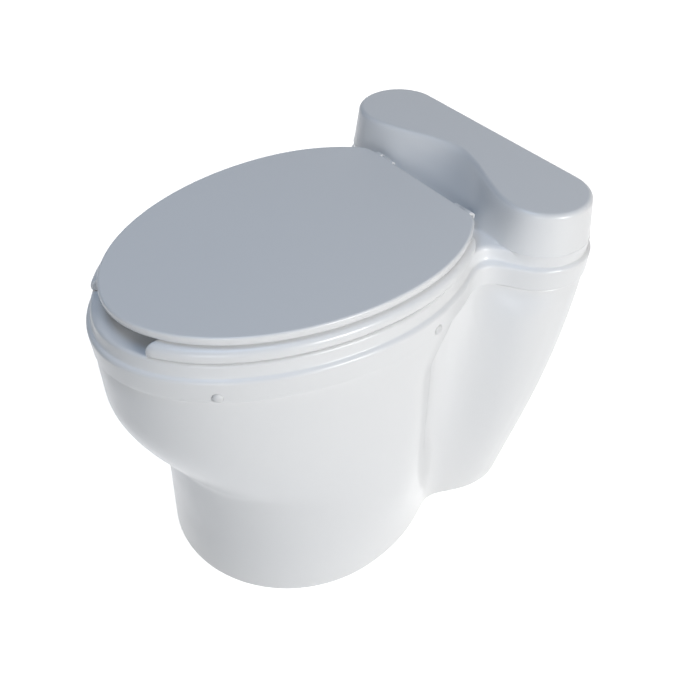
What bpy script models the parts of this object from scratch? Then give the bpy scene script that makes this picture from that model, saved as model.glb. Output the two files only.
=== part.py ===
"""Urine-diverting composting toilet: a lower tub, a lift-off top shell with its rear console,
seat and lid on two hinges, a diverting bowl, a container on a turntable, a drain pipe and a fan.

Metres, +Z up, floor at z = 0. The user sits facing -Y and the console is at +Y.
"""
import math

import bmesh
import bpy
from mathutils import Matrix, Vector

for old in list(bpy.data.objects):
    bpy.data.objects.remove(old, do_unlink=True)

# Band: the widest outline of the top shell, seen from above
band_half_width = 0.209
band_front = 0.305
band_rear = 0.262
band_power = 1.94
console_back = 0.362
console_band_half = 0.229
console_band_corner = 0.0785
console_band_front = 0.205
band_blend = 0.055
band_neck_half = 0.140
band_neck_blend = 0.030
neck_half_width = 0.147
neck_top_half = 0.137
neck_corner = 0.020
neck_inset = 0.055
bowl_y = (band_front - console_back) / 2
plan_centre = 0.130
plan_reach = 0.60

# Heights, all taken from the deck's
deck_height = 0.484
console_rise = 0.059
skirt_drop = 0.052
band_low_drop = 0.025
band_top_drop = 0.0205
step_low_drop = 0.0165
step_high_drop = 0.0075
console_height = deck_height + console_rise
skirt_low = deck_height - skirt_drop
band_low = deck_height - band_low_drop
band_top = deck_height - band_top_drop
step_low = deck_height - step_low_drop
step_high = deck_height - step_high_drop
band_step = 0.0040
ridge_inset = 0.0085
deck_round = 0.0045
skirt_inset = 0.001
shell_wall = 0.003
seat_lift = 0.002
seat_thickness = 0.0165
lid_lift = 0.0025
lid_thickness = 0.0110

# Tub
foot_half_width = 0.197
foot_front = 0.239
foot_rear = 0.238
foot_shift = 0.035
foot_round = 0.006
column_front = 0.234
column_height = skirt_low * 0.2304
belly_half_width = 0.2045
belly_front = 0.302
belly_low = skirt_low * 0.3456
belly_high = skirt_low * 0.8295
belly_width_height = skirt_low * 0.6912
barrel_rear = 0.135
barrel_power = 2.5
barrel_top_rear = 0.190
barrel_top_low = skirt_low * 0.8065
valley_low = skirt_low * 0.1382
valley_high = skirt_low * 0.4608
housing_foot_half = 0.171
housing_half = 0.2265
housing_half_height = skirt_low * 0.9677
housing_foot_back = 0.300
housing_back = 0.354
housing_foot_front = 0.150
housing_front = 0.200
housing_corner = 0.070
barrel_blend = 0.030
housing_blend = 0.050
tuck = 0.030
tuck_blend = 0.006
tub_top_inset = 0.003
tub_wall = 0.0035
shoulder_drop = 0.004
shoulder_gap = 0.0008
rim_drop = 0.001
rim_height = band_low - rim_drop
rim_clearance = 0.0012

# Fits
seat_gap = 0.0003
cut_over = 0.004
weld = 0.000005
probe = 0.001

# Console above the deck
console_half = 0.2165
console_flat = 0.0005
console_rear = 0.349
console_foot_half = 0.2235
console_foot_rear = 0.3555
console_round = 0.006
console_sink = 0.018
lobe_front = 0.2235
lobe_foot_front = 0.214
scoop_half_width = 0.155
scoop_top = 0.267
scoop_foot = 0.212
scoop_power = 1.5

ring_count = 48
console_count = 36

parts = bpy.data.collections.new("composting_toilet")
bpy.context.scene.collection.children.link(parts)
cutters = bpy.data.collections.new("cutters")
bpy.context.scene.collection.children.link(cutters)


def finish(name, colour, roughness, metallic=0.0):
    """A Principled material in the piece's own colour."""
    material = bpy.data.materials.new(name)
    material.use_nodes = True
    shader = material.node_tree.nodes["Principled BSDF"]
    shader.inputs["Base Color"].default_value = (*colour, 1.0)
    shader.inputs["Roughness"].default_value = roughness
    shader.inputs["Metallic"].default_value = metallic
    return material


gloss_white = ((0.86, 0.87, 0.88), 0.28)
satin_white = ((0.80, 0.81, 0.82), 0.45)
grey_plastic = ((0.45, 0.46, 0.47), 0.5)
black_plastic = ((0.03, 0.03, 0.03), 0.45)
dark_rubber = ((0.05, 0.05, 0.05), 0.8)
pale_rubber = ((0.72, 0.72, 0.70), 0.75)
steel = ((0.60, 0.61, 0.62), 0.3, 1.0)


def mix(low, high, share):
    return low + (high - low) * share


def ease(share):
    share = max(0.0, min(1.0, share))
    return share * share * (3 - 2 * share)


def swell(share):
    return math.sin(max(0.0, min(1.0, share)) * math.pi / 2)


def oval_gap(x, y, half, front, rear, centre, front_power, rear_power):
    """Signed distance, near enough, from an oval with unlike front and rear halves."""
    semi = front if y < centre else rear
    power = front_power if y < centre else rear_power
    radius = ((abs(x) / half) ** power + (abs(y - centre) / semi) ** power) ** (1 / power)
    if radius == 0:
        return -min(half, semi)
    return math.hypot(x, y - centre) * (1 - 1 / radius)


def block_gap(x, y, half, front, back, corner):
    """Signed distance from a block with round corners, seen from above."""
    side = abs(x) - (half - corner)
    end = abs(y - (front + back) / 2) - ((back - front) / 2 - corner)
    return math.hypot(max(side, 0), max(end, 0)) + min(max(side, end), 0) - corner


def blend(first, second, width):
    """Union of two outlines with a fillet of about this width."""
    share = max(width - abs(first - second), 0) / width
    return min(first, second) - share * share * width / 4


def outline(gap, angles, centre_y):
    """Points where rays from a centre on the middle line cross an outline."""
    points = []
    for angle in angles:
        near = 0.0
        far = plan_reach
        for _ in range(36):
            middle = (near + far) / 2
            if gap(middle * math.cos(angle), centre_y + middle * math.sin(angle)) < 0:
                near = middle
            else:
                far = middle
        points.append((near * math.cos(angle), centre_y + near * math.sin(angle)))
    return points


def even_angles(gap, centre_y, count, samples=360):
    """Angles whose rays meet the outline at even steps, mirrored, with one on its widest point."""
    half = [mix(-math.pi / 2, math.pi / 2, i / samples) for i in range(samples + 1)]
    points = outline(gap, half, centre_y)
    lengths = [0.0]
    for start, end in zip(points, points[1:]):
        lengths.append(lengths[-1] + math.dist(start, end))
    chosen = []
    step = 0
    for i in range(count // 2 + 1):
        target = lengths[-1] * i / (count // 2)
        while step < samples - 1 and lengths[step + 1] < target:
            step += 1
        share = (target - lengths[step]) / (lengths[step + 1] - lengths[step])
        chosen.append(mix(half[step], half[step + 1], share))
    widest = half[max(range(samples + 1), key=lambda i: points[i][0])]
    chosen[min(range(len(chosen)), key=lambda i: abs(chosen[i] - widest))] = widest
    return chosen + [math.pi - angle for angle in reversed(chosen[1:-1])]


def place(mesh_object, collection=parts):
    collection.objects.link(mesh_object)
    return mesh_object


def loft(name, rings, collection=parts, cap_first=True, cap_last=True):
    """A skin through rings that each run anticlockwise, from the lowest ring up."""
    bm = bmesh.new()
    rows = [[bm.verts.new(point) for point in ring] for ring in rings]
    for low, high in zip(rows, rows[1:]):
        for i in range(len(low)):
            k = (i + 1) % len(low)
            bm.faces.new((low[i], low[k], high[k], high[i]))
    if cap_first:
        bm.faces.new(list(reversed(rows[0])))
    if cap_last:
        bm.faces.new(rows[-1])
    return from_bmesh(name, bm, collection)


def from_bmesh(name, bm, collection=parts):
    mesh = bpy.data.meshes.new(name)
    bm.to_mesh(mesh)
    bm.free()
    return place(bpy.data.objects.new(name, mesh), collection)


def box(name, low, high, collection=parts):
    """A box between two corners."""
    bm = bmesh.new()
    bmesh.ops.create_cube(bm, size=1.0)
    size = Vector(high) - Vector(low)
    centre = (Vector(high) + Vector(low)) / 2
    bmesh.ops.scale(bm, vec=size, verts=bm.verts)
    bmesh.ops.translate(bm, vec=centre, verts=bm.verts)
    return from_bmesh(name, bm, collection)


def rod(name, start, end, radius, collection=parts, sides=24, end_radius=None):
    """A cylinder, or a cone, from one point to another."""
    start = Vector(start)
    end = Vector(end)
    bm = bmesh.new()
    bmesh.ops.create_cone(bm, cap_ends=True, segments=sides, radius1=radius,
                          radius2=radius if end_radius is None else end_radius,
                          depth=(end - start).length)
    turn = Vector((0, 0, 1)).rotation_difference(end - start).to_matrix().to_4x4()
    bmesh.ops.transform(bm, matrix=Matrix.Translation((start + end) / 2) @ turn, verts=bm.verts)
    return from_bmesh(name, bm, collection)


def turned(name, profile, sides, axis_matrix, closed=True, collection=parts):
    """A turned piece: the profile, radius and height, swept round by a Screw modifier."""
    mesh = bpy.data.meshes.new(name)
    edges = [(i, i + 1) for i in range(len(profile) - 1)]
    if closed:
        edges.append((len(profile) - 1, 0))
    mesh.from_pydata([(radius, 0, height) for radius, height in profile], edges, [])
    piece = place(bpy.data.objects.new(name, mesh), collection)
    screw = piece.modifiers.new("turn", "SCREW")
    screw.axis = "Z"
    screw.steps = sides
    screw.render_steps = sides
    screw.use_merge_vertices = True
    screw.merge_threshold = weld
    screw.use_normal_calculate = True
    piece.matrix_world = axis_matrix
    return bake(piece)


def bake(piece):
    """Replace an object by the mesh that its modifiers make, with its place kept in the object."""
    bpy.context.view_layer.update()
    evaluated = piece.evaluated_get(bpy.context.evaluated_depsgraph_get())
    mesh = bpy.data.meshes.new_from_object(evaluated)
    mesh.transform(piece.matrix_world)
    bm = bmesh.new()
    bm.from_mesh(mesh)
    bmesh.ops.remove_doubles(bm, verts=bm.verts, dist=weld)
    bmesh.ops.recalc_face_normals(bm, faces=bm.faces)
    bm.to_mesh(mesh)
    bm.free()
    name = piece.name
    collection = piece.users_collection[0]
    bpy.data.objects.remove(piece, do_unlink=True)
    made = bpy.data.objects.new(name, mesh)
    return place(made, collection)


def combine(piece, others, operation):
    """Apply one exact Boolean for each other object, which is then removed."""
    for other in others:
        cut = piece.modifiers.new(operation.lower(), "BOOLEAN")
        cut.operation = operation
        cut.solver = "EXACT"
        cut.object = other
        piece = bake(piece)
        bpy.data.objects.remove(other, do_unlink=True)
    return piece


def join(piece, others):
    return combine(piece, others, "UNION")


def cut(piece, others):
    return combine(piece, others, "DIFFERENCE")


def shell(piece, wall):
    """Give an open skin its wall, inwards."""
    solidify = piece.modifiers.new("wall", "SOLIDIFY")
    solidify.thickness = wall
    solidify.offset = -1
    solidify.use_even_offset = True
    return bake(piece)


def dress(piece, look, smooth_angle=0.6):
    """Name the piece's material after it, and shade it smooth up to a sharp edge."""
    piece.data.materials.clear()
    piece.data.materials.append(finish(piece.name, *look))
    piece.data.shade_smooth()
    piece.data.set_sharp_from_angle(angle=smooth_angle)
    return piece


def on_axis(piece, point):
    """Move a piece's origin to a point of its joint's axis, with its shape left where it is."""
    piece.data.transform(Matrix.Translation(-Vector(point)))
    piece.location = point
    return piece


# Outlines of the body, each a function of height


def band_gap(inset):
    """Outline of the band, drawn in by an inset."""
    def gap(x, y):
        bowl = oval_gap(x, y - bowl_y, band_half_width, band_front, band_rear, 0, band_power, band_power)
        neck = block_gap(x, y - bowl_y, band_neck_half, 0, console_back - neck_inset, neck_corner)
        console = block_gap(x, y - bowl_y, console_band_half, console_band_front, console_back,
                            console_band_corner)
        return blend(blend(bowl, neck, band_neck_blend), console, band_blend) + inset
    return gap


def tub_gap(height, inset=0.0):
    """Outline of the tub: bowl barrel, neck and rear housing run together."""
    drawn = ease((height - valley_low) / (valley_high - valley_low))
    topped = ease((height - barrel_top_low) / (skirt_low - barrel_top_low))
    half = mix(foot_half_width, belly_half_width, swell(height / belly_width_height))
    column = mix(foot_front, column_front, min(height / column_height, 1))
    front = mix(column, belly_front, ease((height - belly_low) / (belly_high - belly_low)))
    centre = -mix(foot_shift, 0, drawn)
    rear = mix(mix(foot_rear, barrel_rear, drawn), barrel_top_rear, topped)
    rear_power = mix(2.0, barrel_power, drawn)
    share = height / skirt_low
    housing_side = mix(housing_foot_half, housing_half, swell(height / housing_half_height))
    back = mix(housing_foot_back, housing_back, share)
    face = mix(housing_foot_front, housing_front, share)
    neck_half = mix(neck_half_width, neck_top_half, topped)
    skirt = band_gap(tub_top_inset)

    def gap(x, y):
        limit = skirt(x, y) - mix(tuck, 0, topped)
        y = y - bowl_y
        barrel = oval_gap(x, y, half, front + centre, rear, centre, 2.0, rear_power)
        neck = block_gap(x, y, neck_half, 0, back - neck_inset, neck_corner)
        housing = block_gap(x, y, housing_side, face, back, housing_corner)
        body = blend(blend(barrel, neck, barrel_blend), housing, housing_blend)
        return -blend(-body, -limit, tuck_blend) + inset
    return gap


body_angles = even_angles(band_gap(0.0), bowl_y + plan_centre, ring_count)


def body_ring(gap, height):
    return [(x, y, height) for x, y in outline(gap, body_angles, bowl_y + plan_centre)]


def side_point(gap, height, forward):
    """The point of an outline on the +X side that lies a given way ahead of its bowl line."""
    near = 0.0
    far = plan_reach
    for _ in range(36):
        middle = (near + far) / 2
        if gap(middle, bowl_y - forward) < 0:
            near = middle
        else:
            far = middle
    return Vector((near, bowl_y - forward, height))


def outward(gap, point):
    """Level unit normal of an outline at a point."""
    across = gap(point.x + probe, point.y) - gap(point.x - probe, point.y)
    along = gap(point.x, point.y + probe) - gap(point.x, point.y - probe)
    return Vector((across, along, 0)).normalized()


# Tub: one moulded shell with a flat floor, open at the top

shoulder = skirt_low - shoulder_drop
rim_inset = tub_top_inset + shell_wall + rim_clearance
tub_level_shares = (0.12, 0.24, 0.34, 0.43, 0.52, 0.62, 0.75, 0.88)
tub_rings = [body_ring(tub_gap(0, foot_round), 0),
             body_ring(tub_gap(0, foot_round * 0.3), foot_round * 0.3),
             body_ring(tub_gap(foot_round), foot_round)]
for share in tub_level_shares:
    tub_rings.append(body_ring(tub_gap(shoulder * share), shoulder * share))
tub_rings.append(body_ring(tub_gap(shoulder), shoulder))
tub_rings.append(body_ring(band_gap(rim_inset), skirt_low - shoulder_gap))
tub_rings.append(body_ring(band_gap(rim_inset), rim_height))
tub = shell(loft("tub", tub_rings, cap_last=False), tub_wall)

# Skirt screws: a domed head on the skirt, a shank through it into an open slot of the tub's rim
screw_rise = 0.0085
screw_height = skirt_low + screw_rise
screw_forwards = {"front": 0.219, "rear": -0.068}
screw_head_radius = 0.0070
screw_head_height = 0.0042
screw_recess = 0.0009
screw_shank_radius = 0.0025
screw_length = 0.020
screw_hole_clearance = 0.0004
slot_clearance = 0.0008
screw_places = {}
for end, forward in screw_forwards.items():
    skirt_outline = band_gap(mix(skirt_inset, 0, (screw_height - skirt_low) / (band_low - skirt_low)))
    seat_point = side_point(skirt_outline, screw_height, forward)
    normal = outward(skirt_outline, seat_point)
    for side, sign in (("left", 1), ("right", -1)):
        screw_places[end + "_" + side] = (Vector((seat_point.x * sign, seat_point.y, seat_point.z)),
                                          Vector((normal.x * sign, normal.y, 0)))


def slot_cutter(name, point, normal):
    """An open-topped slot through the rim, round below, along a screw."""
    radius = screw_shank_radius + slot_clearance
    tangent = Vector((-normal.y, normal.x, 0))
    section = [(radius, rim_height - screw_height + cut_over)]
    section += [(radius * math.cos(math.pi * i / 8), -radius * math.sin(math.pi * i / 8))
                for i in range(9)]
    section += [(-radius, rim_height - screw_height + cut_over)]
    rings = []
    for reach in (-screw_length, cut_over):
        rings.append([tuple(point + normal * reach + tangent * across + Vector((0, 0, rise)))
                      for across, rise in reversed(section)])
    return bake(loft(name, rings, cutters))


# Rear services: vent socket, urine outlet and power inlet, all through the tub's rear wall
vent_drop = 0.046
vent_height = skirt_low - vent_drop
vent_bore_radius = 0.0378
vent_wall = 0.003
vent_stand = 0.010
vent_flange = 0.0455
vent_flange_thickness = 0.003
outlet_radius = 0.016
outlet_wall = 0.002
outlet_side = 0.085
outlet_height = 0.030
outlet_stand = 0.028
grommet_radius = 0.022
grommet_lip = 0.0025
grommet_flange = 0.0025
inlet_side = -0.120
inlet_drop = 0.104
inlet_height = skirt_low - inlet_drop
inlet_radius = 0.008
inlet_flange_radius = 0.011
inlet_flange_thickness = 0.002
inlet_length = 0.022
inlet_bore_radius = 0.0035
inlet_bore_depth = 0.0130
hole_clearance = 0.0005
pad_stand = 0.0008
outlet_pad = 0.0235
inlet_pad = 0.0125
rear_reach = 0.025
fan_screw_offset = 0.0390
fan_screw_radius = 0.0018
fan_screw_grip = 0.0060


def rear_wall(height, side=0.0):
    """How far back the tub's outer rear wall lies at a height, straight behind a side offset."""
    near = bowl_y + housing_front
    far = bowl_y + plan_reach
    gap = tub_gap(height)
    for _ in range(36):
        middle = (near + far) / 2
        if gap(side, middle) < 0:
            near = middle
        else:
            far = middle
    return near


def pad(name, side, height, half, face_y):
    """A wedge from an upright square face to the middle of the leaning rear wall."""
    rings = []
    for height_at in (height - half, height + half):
        back_y = rear_wall(height_at, side) - tub_wall / 2
        low_y = min(face_y, back_y)
        high_y = max(face_y, back_y)
        rings.append([(side - half, low_y, height_at), (side + half, low_y, height_at),
                      (side + half, high_y, height_at), (side - half, high_y, height_at)])
    return loft(name, rings, cutters)


flange_back = rear_wall(vent_height - vent_flange) - tub_wall - pad_stand
outlet_face = rear_wall(outlet_height + outlet_pad, outlet_side) + pad_stand
inlet_pad_face = rear_wall(inlet_height + inlet_pad, inlet_side) + pad_stand
tub = join(tub, [pad("vent_pad", 0, vent_height, vent_flange, flange_back + seat_gap),
                 pad("outlet_pad", outlet_side, outlet_height, outlet_pad, outlet_face),
                 pad("inlet_pad", inlet_side, inlet_height, inlet_pad, inlet_pad_face)])
outlet_hole_radius = outlet_radius + hole_clearance + grommet_lip
rear_holes = [("vent_hole", 0, vent_height, vent_bore_radius + vent_wall + hole_clearance, 28),
              ("outlet_hole", outlet_side, outlet_height, outlet_hole_radius, 20),
              ("inlet_hole", inlet_side, inlet_height, inlet_radius + hole_clearance, 16)]
tub_cuts = []
for name, side, height, radius, sides in rear_holes:
    wall_y = rear_wall(height, side)
    tub_cuts.append(rod(name, (side, wall_y - rear_reach, height), (side, wall_y + rear_reach, height),
                        radius, cutters, sides))
fan_spots = [(across * fan_screw_offset, vent_height + rise * fan_screw_offset)
             for across, rise in ((1, 1), (-1, 1), (-1, -1), (1, -1))]
for x, z in fan_spots:
    tub_cuts.append(rod("pad_hole", (x, flange_back - cut_over, z), (x, flange_back + fan_screw_grip, z),
                        fan_screw_radius + seat_gap, cutters, 8))
for place_name, (point, normal) in screw_places.items():
    tub_cuts.append(slot_cutter("slot_" + place_name, point, normal))
tub = cut(tub, tub_cuts)
dress(tub, gloss_white)

# Top shell: skirt, band, deck and console in one moulding, open below
skirt_rings = [body_ring(band_gap(skirt_inset), skirt_low),
               body_ring(band_gap(0.0), band_low),
               body_ring(band_gap(band_step * 0.15), band_top),
               body_ring(band_gap(band_step), step_low),
               body_ring(band_gap(ridge_inset), step_high),
               body_ring(band_gap(ridge_inset + deck_round * 0.25), deck_height - deck_round * 0.8),
               body_ring(band_gap(ridge_inset + deck_round), deck_height)]
console_centre = bowl_y + (console_rear + lobe_front) / 2


def console_gap(height, inset=0.0):
    """Outline of the console at a height: a capsule with a scoop in its front."""
    share = max(0.0, (height - deck_height) / console_rise)
    half = mix(console_foot_half, console_half, share)
    back = mix(console_foot_rear, console_rear, share)
    lobe = mix(lobe_foot_front, lobe_front, share)
    middle = mix(scoop_foot, scoop_top, 1 - (1 - share) ** scoop_power)

    def gap(x, y):
        y = y - bowl_y
        hollow = math.cos(math.pi / 2 * min(abs(x) / scoop_half_width, 1)) ** 2
        body = block_gap(x, y, half, lobe, back, (back - lobe) / 2 - console_flat)
        return max(body, mix(lobe, middle, hollow) - y) + inset
    return gap


console_angles = even_angles(console_gap(console_height), console_centre, console_count)


def console_ring(height, inset, drawn_height=None):
    gap = console_gap(height if drawn_height is None else drawn_height, inset)
    return [(x, y, height) for x, y in outline(gap, console_angles, console_centre)]


console_level_shares = (0, 0.12, 0.3, 0.52, 0.76)
console_span = console_height - console_round - deck_height
console_rings = [console_ring(deck_height - console_sink, 0.0, deck_height)]
for share in console_level_shares:
    console_rings.append(console_ring(deck_height + console_span * share, 0.0))
for turn in (0, 30, 60, 90):
    rise = console_round * math.sin(math.radians(turn))
    drawn = console_round * (1 - math.cos(math.radians(turn)))
    console_rings.append(console_ring(console_height - console_round + rise, drawn))
top_shell = join(loft("top_shell", skirt_rings), [loft("console_outside", console_rings, cutters)])

inner_rings = [body_ring(band_gap(skirt_inset + shell_wall), skirt_low - cut_over),
               body_ring(band_gap(shell_wall + skirt_inset * 0.5), band_low),
               body_ring(band_gap(band_step + shell_wall), step_low - shell_wall * 0.5),
               body_ring(band_gap(ridge_inset + shell_wall), step_high - shell_wall * 0.5),
               body_ring(band_gap(ridge_inset + shell_wall + deck_round * 0.4), deck_height - shell_wall)]
hollow_rings = [console_ring(deck_height - console_sink, shell_wall, deck_height)]
for share in console_level_shares[:-1]:
    hollow_rings.append(console_ring(deck_height + console_span * share, shell_wall))
hollow_rings.append(console_ring(console_height - console_round, shell_wall))
hollow_rings.append(console_ring(console_height - shell_wall, shell_wall + console_round * 0.5))
hollow = join(loft("hollow", inner_rings, cutters), [loft("console_hollow", hollow_rings, cutters)])

# Deck opening and diverting bowl, both from one oval
opening_half_width = 0.118
opening_front = 0.225
opening_back = 0.125
opening_power = 2.2
opening_centre = (opening_back - opening_front) / 2
opening_count = 28


def opening_ring(height, inset):
    semi = (opening_front + opening_back) / 2 - inset
    half = opening_half_width - inset
    ring = []
    for i in range(opening_count):
        angle = 2 * math.pi * i / opening_count
        across = abs(math.cos(angle)) ** (2 / opening_power) * half
        along = abs(math.sin(angle)) ** (2 / opening_power) * semi
        ring.append((math.copysign(across, math.cos(angle)),
                     bowl_y + opening_centre + math.copysign(along, math.sin(angle)), height))
    return ring


# Hinges: where the pins lie, used by the deck, posts, seat and lid
hinge_back = 0.2045
hinge_rise = 0.0205
hinge_height = deck_height + hinge_rise
hinge_pin_radius = 0.003
knuckle_radius = 0.0065
seat_knuckle_radius = 0.0055
post_radius = 0.0060
knuckle_bore_clearance = 0.00011
knuckle_gap = 0.0004
post_inner = 0.0800
post_width = 0.0120
ear_width = 0.0110
hinge_y = bowl_y + hinge_back
post_middle = post_inner + post_width / 2
hinge_bolt_radius = 0.0025
hinge_bolt_depth = 0.0090
hinge_bolt_head_radius = 0.0050
hinge_bolt_head_height = 0.0035
hinge_washer_radius = 0.0065
hinge_washer_thickness = 0.0012
deck_under = deck_height - shell_wall

# Bosses below the deck, which pass through the bowl's flange and take its screws
flange_width = 0.014
flange_thickness = 0.003
boss_radius = 0.004
boss_spots_share = 0.52
boss_angles = (38, 142, 218, 322)
bowl_screw_radius = 0.0015
bowl_screw_head_radius = 0.0055
bowl_screw_head_height = 0.002
bowl_screw_depth = 0.0045
flange_top = deck_under - seat_gap
flange_low = flange_top - flange_thickness
boss_spots = []
for angle in boss_angles:
    along = math.radians(angle)
    half = opening_half_width + flange_width * boss_spots_share
    semi = (opening_front + opening_back) / 2 + flange_width * boss_spots_share
    across = math.copysign(half * abs(math.cos(along)) ** (2 / opening_power), math.cos(along))
    back = math.copysign(semi * abs(math.sin(along)) ** (2 / opening_power), math.sin(along))
    boss_spots.append((across, bowl_y + opening_centre + back))

shell_cuts = [hollow,
              loft("opening", [opening_ring(deck_under - 2 * cut_over, 0.0),
                               opening_ring(deck_height + cut_over, 0.0)], cutters)]
for sign in (1, -1):
    shell_cuts.append(rod("bolt_hole", (sign * post_middle, hinge_y, deck_under - cut_over),
                          (sign * post_middle, hinge_y, deck_height + cut_over),
                          hinge_bolt_radius + hole_clearance, cutters, 16))
for point, normal in screw_places.values():
    outer_end = point + normal * cut_over
    shell_cuts.append(rod("skirt_hole", point - normal * (shell_wall + cut_over), outer_end,
                          screw_shank_radius + screw_hole_clearance, cutters, 16))
    shell_cuts.append(rod("skirt_spot", point - normal * screw_recess, outer_end,
                          screw_head_radius + screw_hole_clearance, cutters, 20))
top_shell = cut(top_shell, shell_cuts)
top_shell = join(top_shell, [rod("boss", (x, y, flange_low + seat_gap), (x, y, deck_under + seat_gap),
                                 boss_radius, cutters, 12) for x, y in boss_spots])
top_shell = cut(top_shell, [rod("boss_bore", (x, y, flange_low - cut_over),
                                (x, y, flange_low + bowl_screw_depth),
                                bowl_screw_radius + seat_gap, cutters, 10) for x, y in boss_spots])
dress(top_shell, gloss_white)

# Skirt screws themselves
for place_name, (point, normal) in screw_places.items():
    dome = [(screw_head_radius * math.cos(math.radians(a)), screw_head_height * math.sin(math.radians(a)))
            for a in (90, 62, 32, 0)]
    dome[0] = (0.0, screw_head_height)
    under = seat_gap - screw_recess
    profile = [(radius, height + under) for radius, height in dome]
    profile += [(screw_shank_radius, under), (screw_shank_radius, -screw_length), (0.0, -screw_length)]
    turn = Vector((0, 0, 1)).rotation_difference(normal).to_matrix().to_4x4()
    screw = turned("screw_" + place_name, profile, 16, Matrix.Translation(point) @ turn, closed=False)
    dress(screw, satin_white)

# Rim seal: a foam wedge between the tub's rim and the shell's slope, which carries the top shell
seal_width = 0.0050
seal_outer = band_step + shell_wall + 2 * seat_gap
seal_low = rim_height + seat_gap
seal_shoulder = step_low - shell_wall * 0.5 - 2 * seat_gap
seal_slope = (step_high - step_low) / (ridge_inset - band_step)
seal_rise = 0.0035
seal_outside = loft("rim_seal", [body_ring(band_gap(seal_outer), seal_low),
                                 body_ring(band_gap(seal_outer), seal_shoulder),
                                 body_ring(band_gap(seal_outer + seal_rise),
                                           seal_shoulder + seal_rise * seal_slope)])
seal_inside = [body_ring(band_gap(seal_outer + seal_width), height)
               for height in (seal_low - cut_over, deck_height)]
dress(cut(seal_outside, [loft("seal_inside", seal_inside, cutters)]), dark_rubber)

# Diverting bowl: flange below the deck, funnel in front, open chute behind a divider
bowl_wall = 0.0025
divider_y = -0.052
divider_half = 0.004
chute_drop = 0.096
chute_low = deck_height - chute_drop
chute_draft = 0.014
nozzle_y = -0.165
nozzle_radius = 0.013
nozzle_drop = 0.119
nozzle_length = 0.043
nozzle_top = deck_height - nozzle_drop
nozzle_low = nozzle_top - nozzle_length
funnel_drop = 0.069
funnel_mid_height = deck_height - funnel_drop


def clipped_ring(height, inset, front_side, drawn=0.0):
    """The opening's outline on one side of the divider, closed by a straight run along it."""
    edge = bowl_y + divider_y + (-divider_half - inset if front_side else divider_half + inset)
    ring = []
    for x, y, _ in opening_ring(height, inset + drawn):
        y = min(y, edge) if front_side else max(y, edge)
        ring.append((x, y, height))
    return ring


def spread_clipped(height, inset, front_side, drawn=0.0, count=24):
    """The clipped outline again, as points at even angles about its own middle."""
    ring = clipped_ring(height, inset, front_side, drawn)
    low_y = min(y for _, y, _ in ring)
    high_y = max(y for _, y, _ in ring)
    centre = (low_y + high_y) / 2
    edge = high_y if front_side else low_y
    semi = (opening_front + opening_back) / 2 - inset - drawn
    half = opening_half_width - inset - drawn
    middle = bowl_y + opening_centre

    def gap(x, y):
        oval = oval_gap(x, y, half, semi, semi, middle, opening_power, opening_power)
        flat = y - edge if front_side else edge - y
        return max(oval, flat)
    angles = [2 * math.pi * (i + 0.5) / count for i in range(count)]
    return [(x, y, height) for x, y in outline(gap, angles, centre)], centre


def funnel_rings(inset, high):
    top, centre = spread_clipped(high, inset, True)
    rim, _ = spread_clipped(flange_low, inset, True)
    rings = [top, rim]
    spot = bowl_y + nozzle_y
    for share, height in ((0.45, funnel_mid_height), (1.0, nozzle_top)):
        ring = []
        for x, y, _ in rim:
            angle = math.atan2(y - centre, x)
            end_x = (nozzle_radius - inset) * math.cos(angle)
            end_y = spot + (nozzle_radius - inset) * math.sin(angle)
            ring.append((mix(x, end_x, share), mix(y, end_y, share), height))
        rings.append(ring)
    rings.append([(x, y, nozzle_low) for x, y, _ in rings[-1]])
    return list(reversed(rings))


funnel_out = funnel_rings(0.0, flange_top - flange_thickness * 0.2)
funnel_in = funnel_rings(bowl_wall, flange_top + cut_over)
funnel_in[0] = [(x, y, nozzle_low - cut_over) for x, y, _ in funnel_in[0]]
chute_out = [spread_clipped(chute_low, 0.0, False, chute_draft)[0],
             spread_clipped(flange_top - flange_thickness * 0.2, 0.0, False)[0]]
chute_in = [spread_clipped(chute_low - cut_over, bowl_wall, False, chute_draft)[0],
            spread_clipped(flange_top + cut_over, bowl_wall, False)[0]]
bowl = loft("bowl_insert", [opening_ring(flange_low, -flange_width),
                            opening_ring(flange_top, -flange_width)])
bowl = join(bowl, [loft("funnel_out", funnel_out, cutters), loft("chute_out", chute_out, cutters)])
bowl_cuts = [loft("funnel_in", funnel_in, cutters), loft("chute_in", chute_in, cutters)]
for x, y in boss_spots:
    bowl_cuts.append(rod("bowl_hole", (x, y, flange_low - cut_over), (x, y, flange_top + cut_over),
                         boss_radius + seat_gap, cutters, 12))
bowl = cut(bowl, bowl_cuts)
dress(bowl, gloss_white)

for i, (x, y) in enumerate(boss_spots):
    under = flange_low - seat_gap
    tip = flange_low + bowl_screw_depth - seat_gap
    below = under - bowl_screw_head_height
    profile = [(0.0, tip), (bowl_screw_radius, tip), (bowl_screw_radius, under),
               (bowl_screw_head_radius, under), (bowl_screw_head_radius, below), (0.0, below)]
    bowl_screw = turned("bowl_screw_%d" % (i + 1), profile, 10, Matrix.Translation((x, y, 0)), closed=False)
    dress(bowl_screw, steel)

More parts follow.
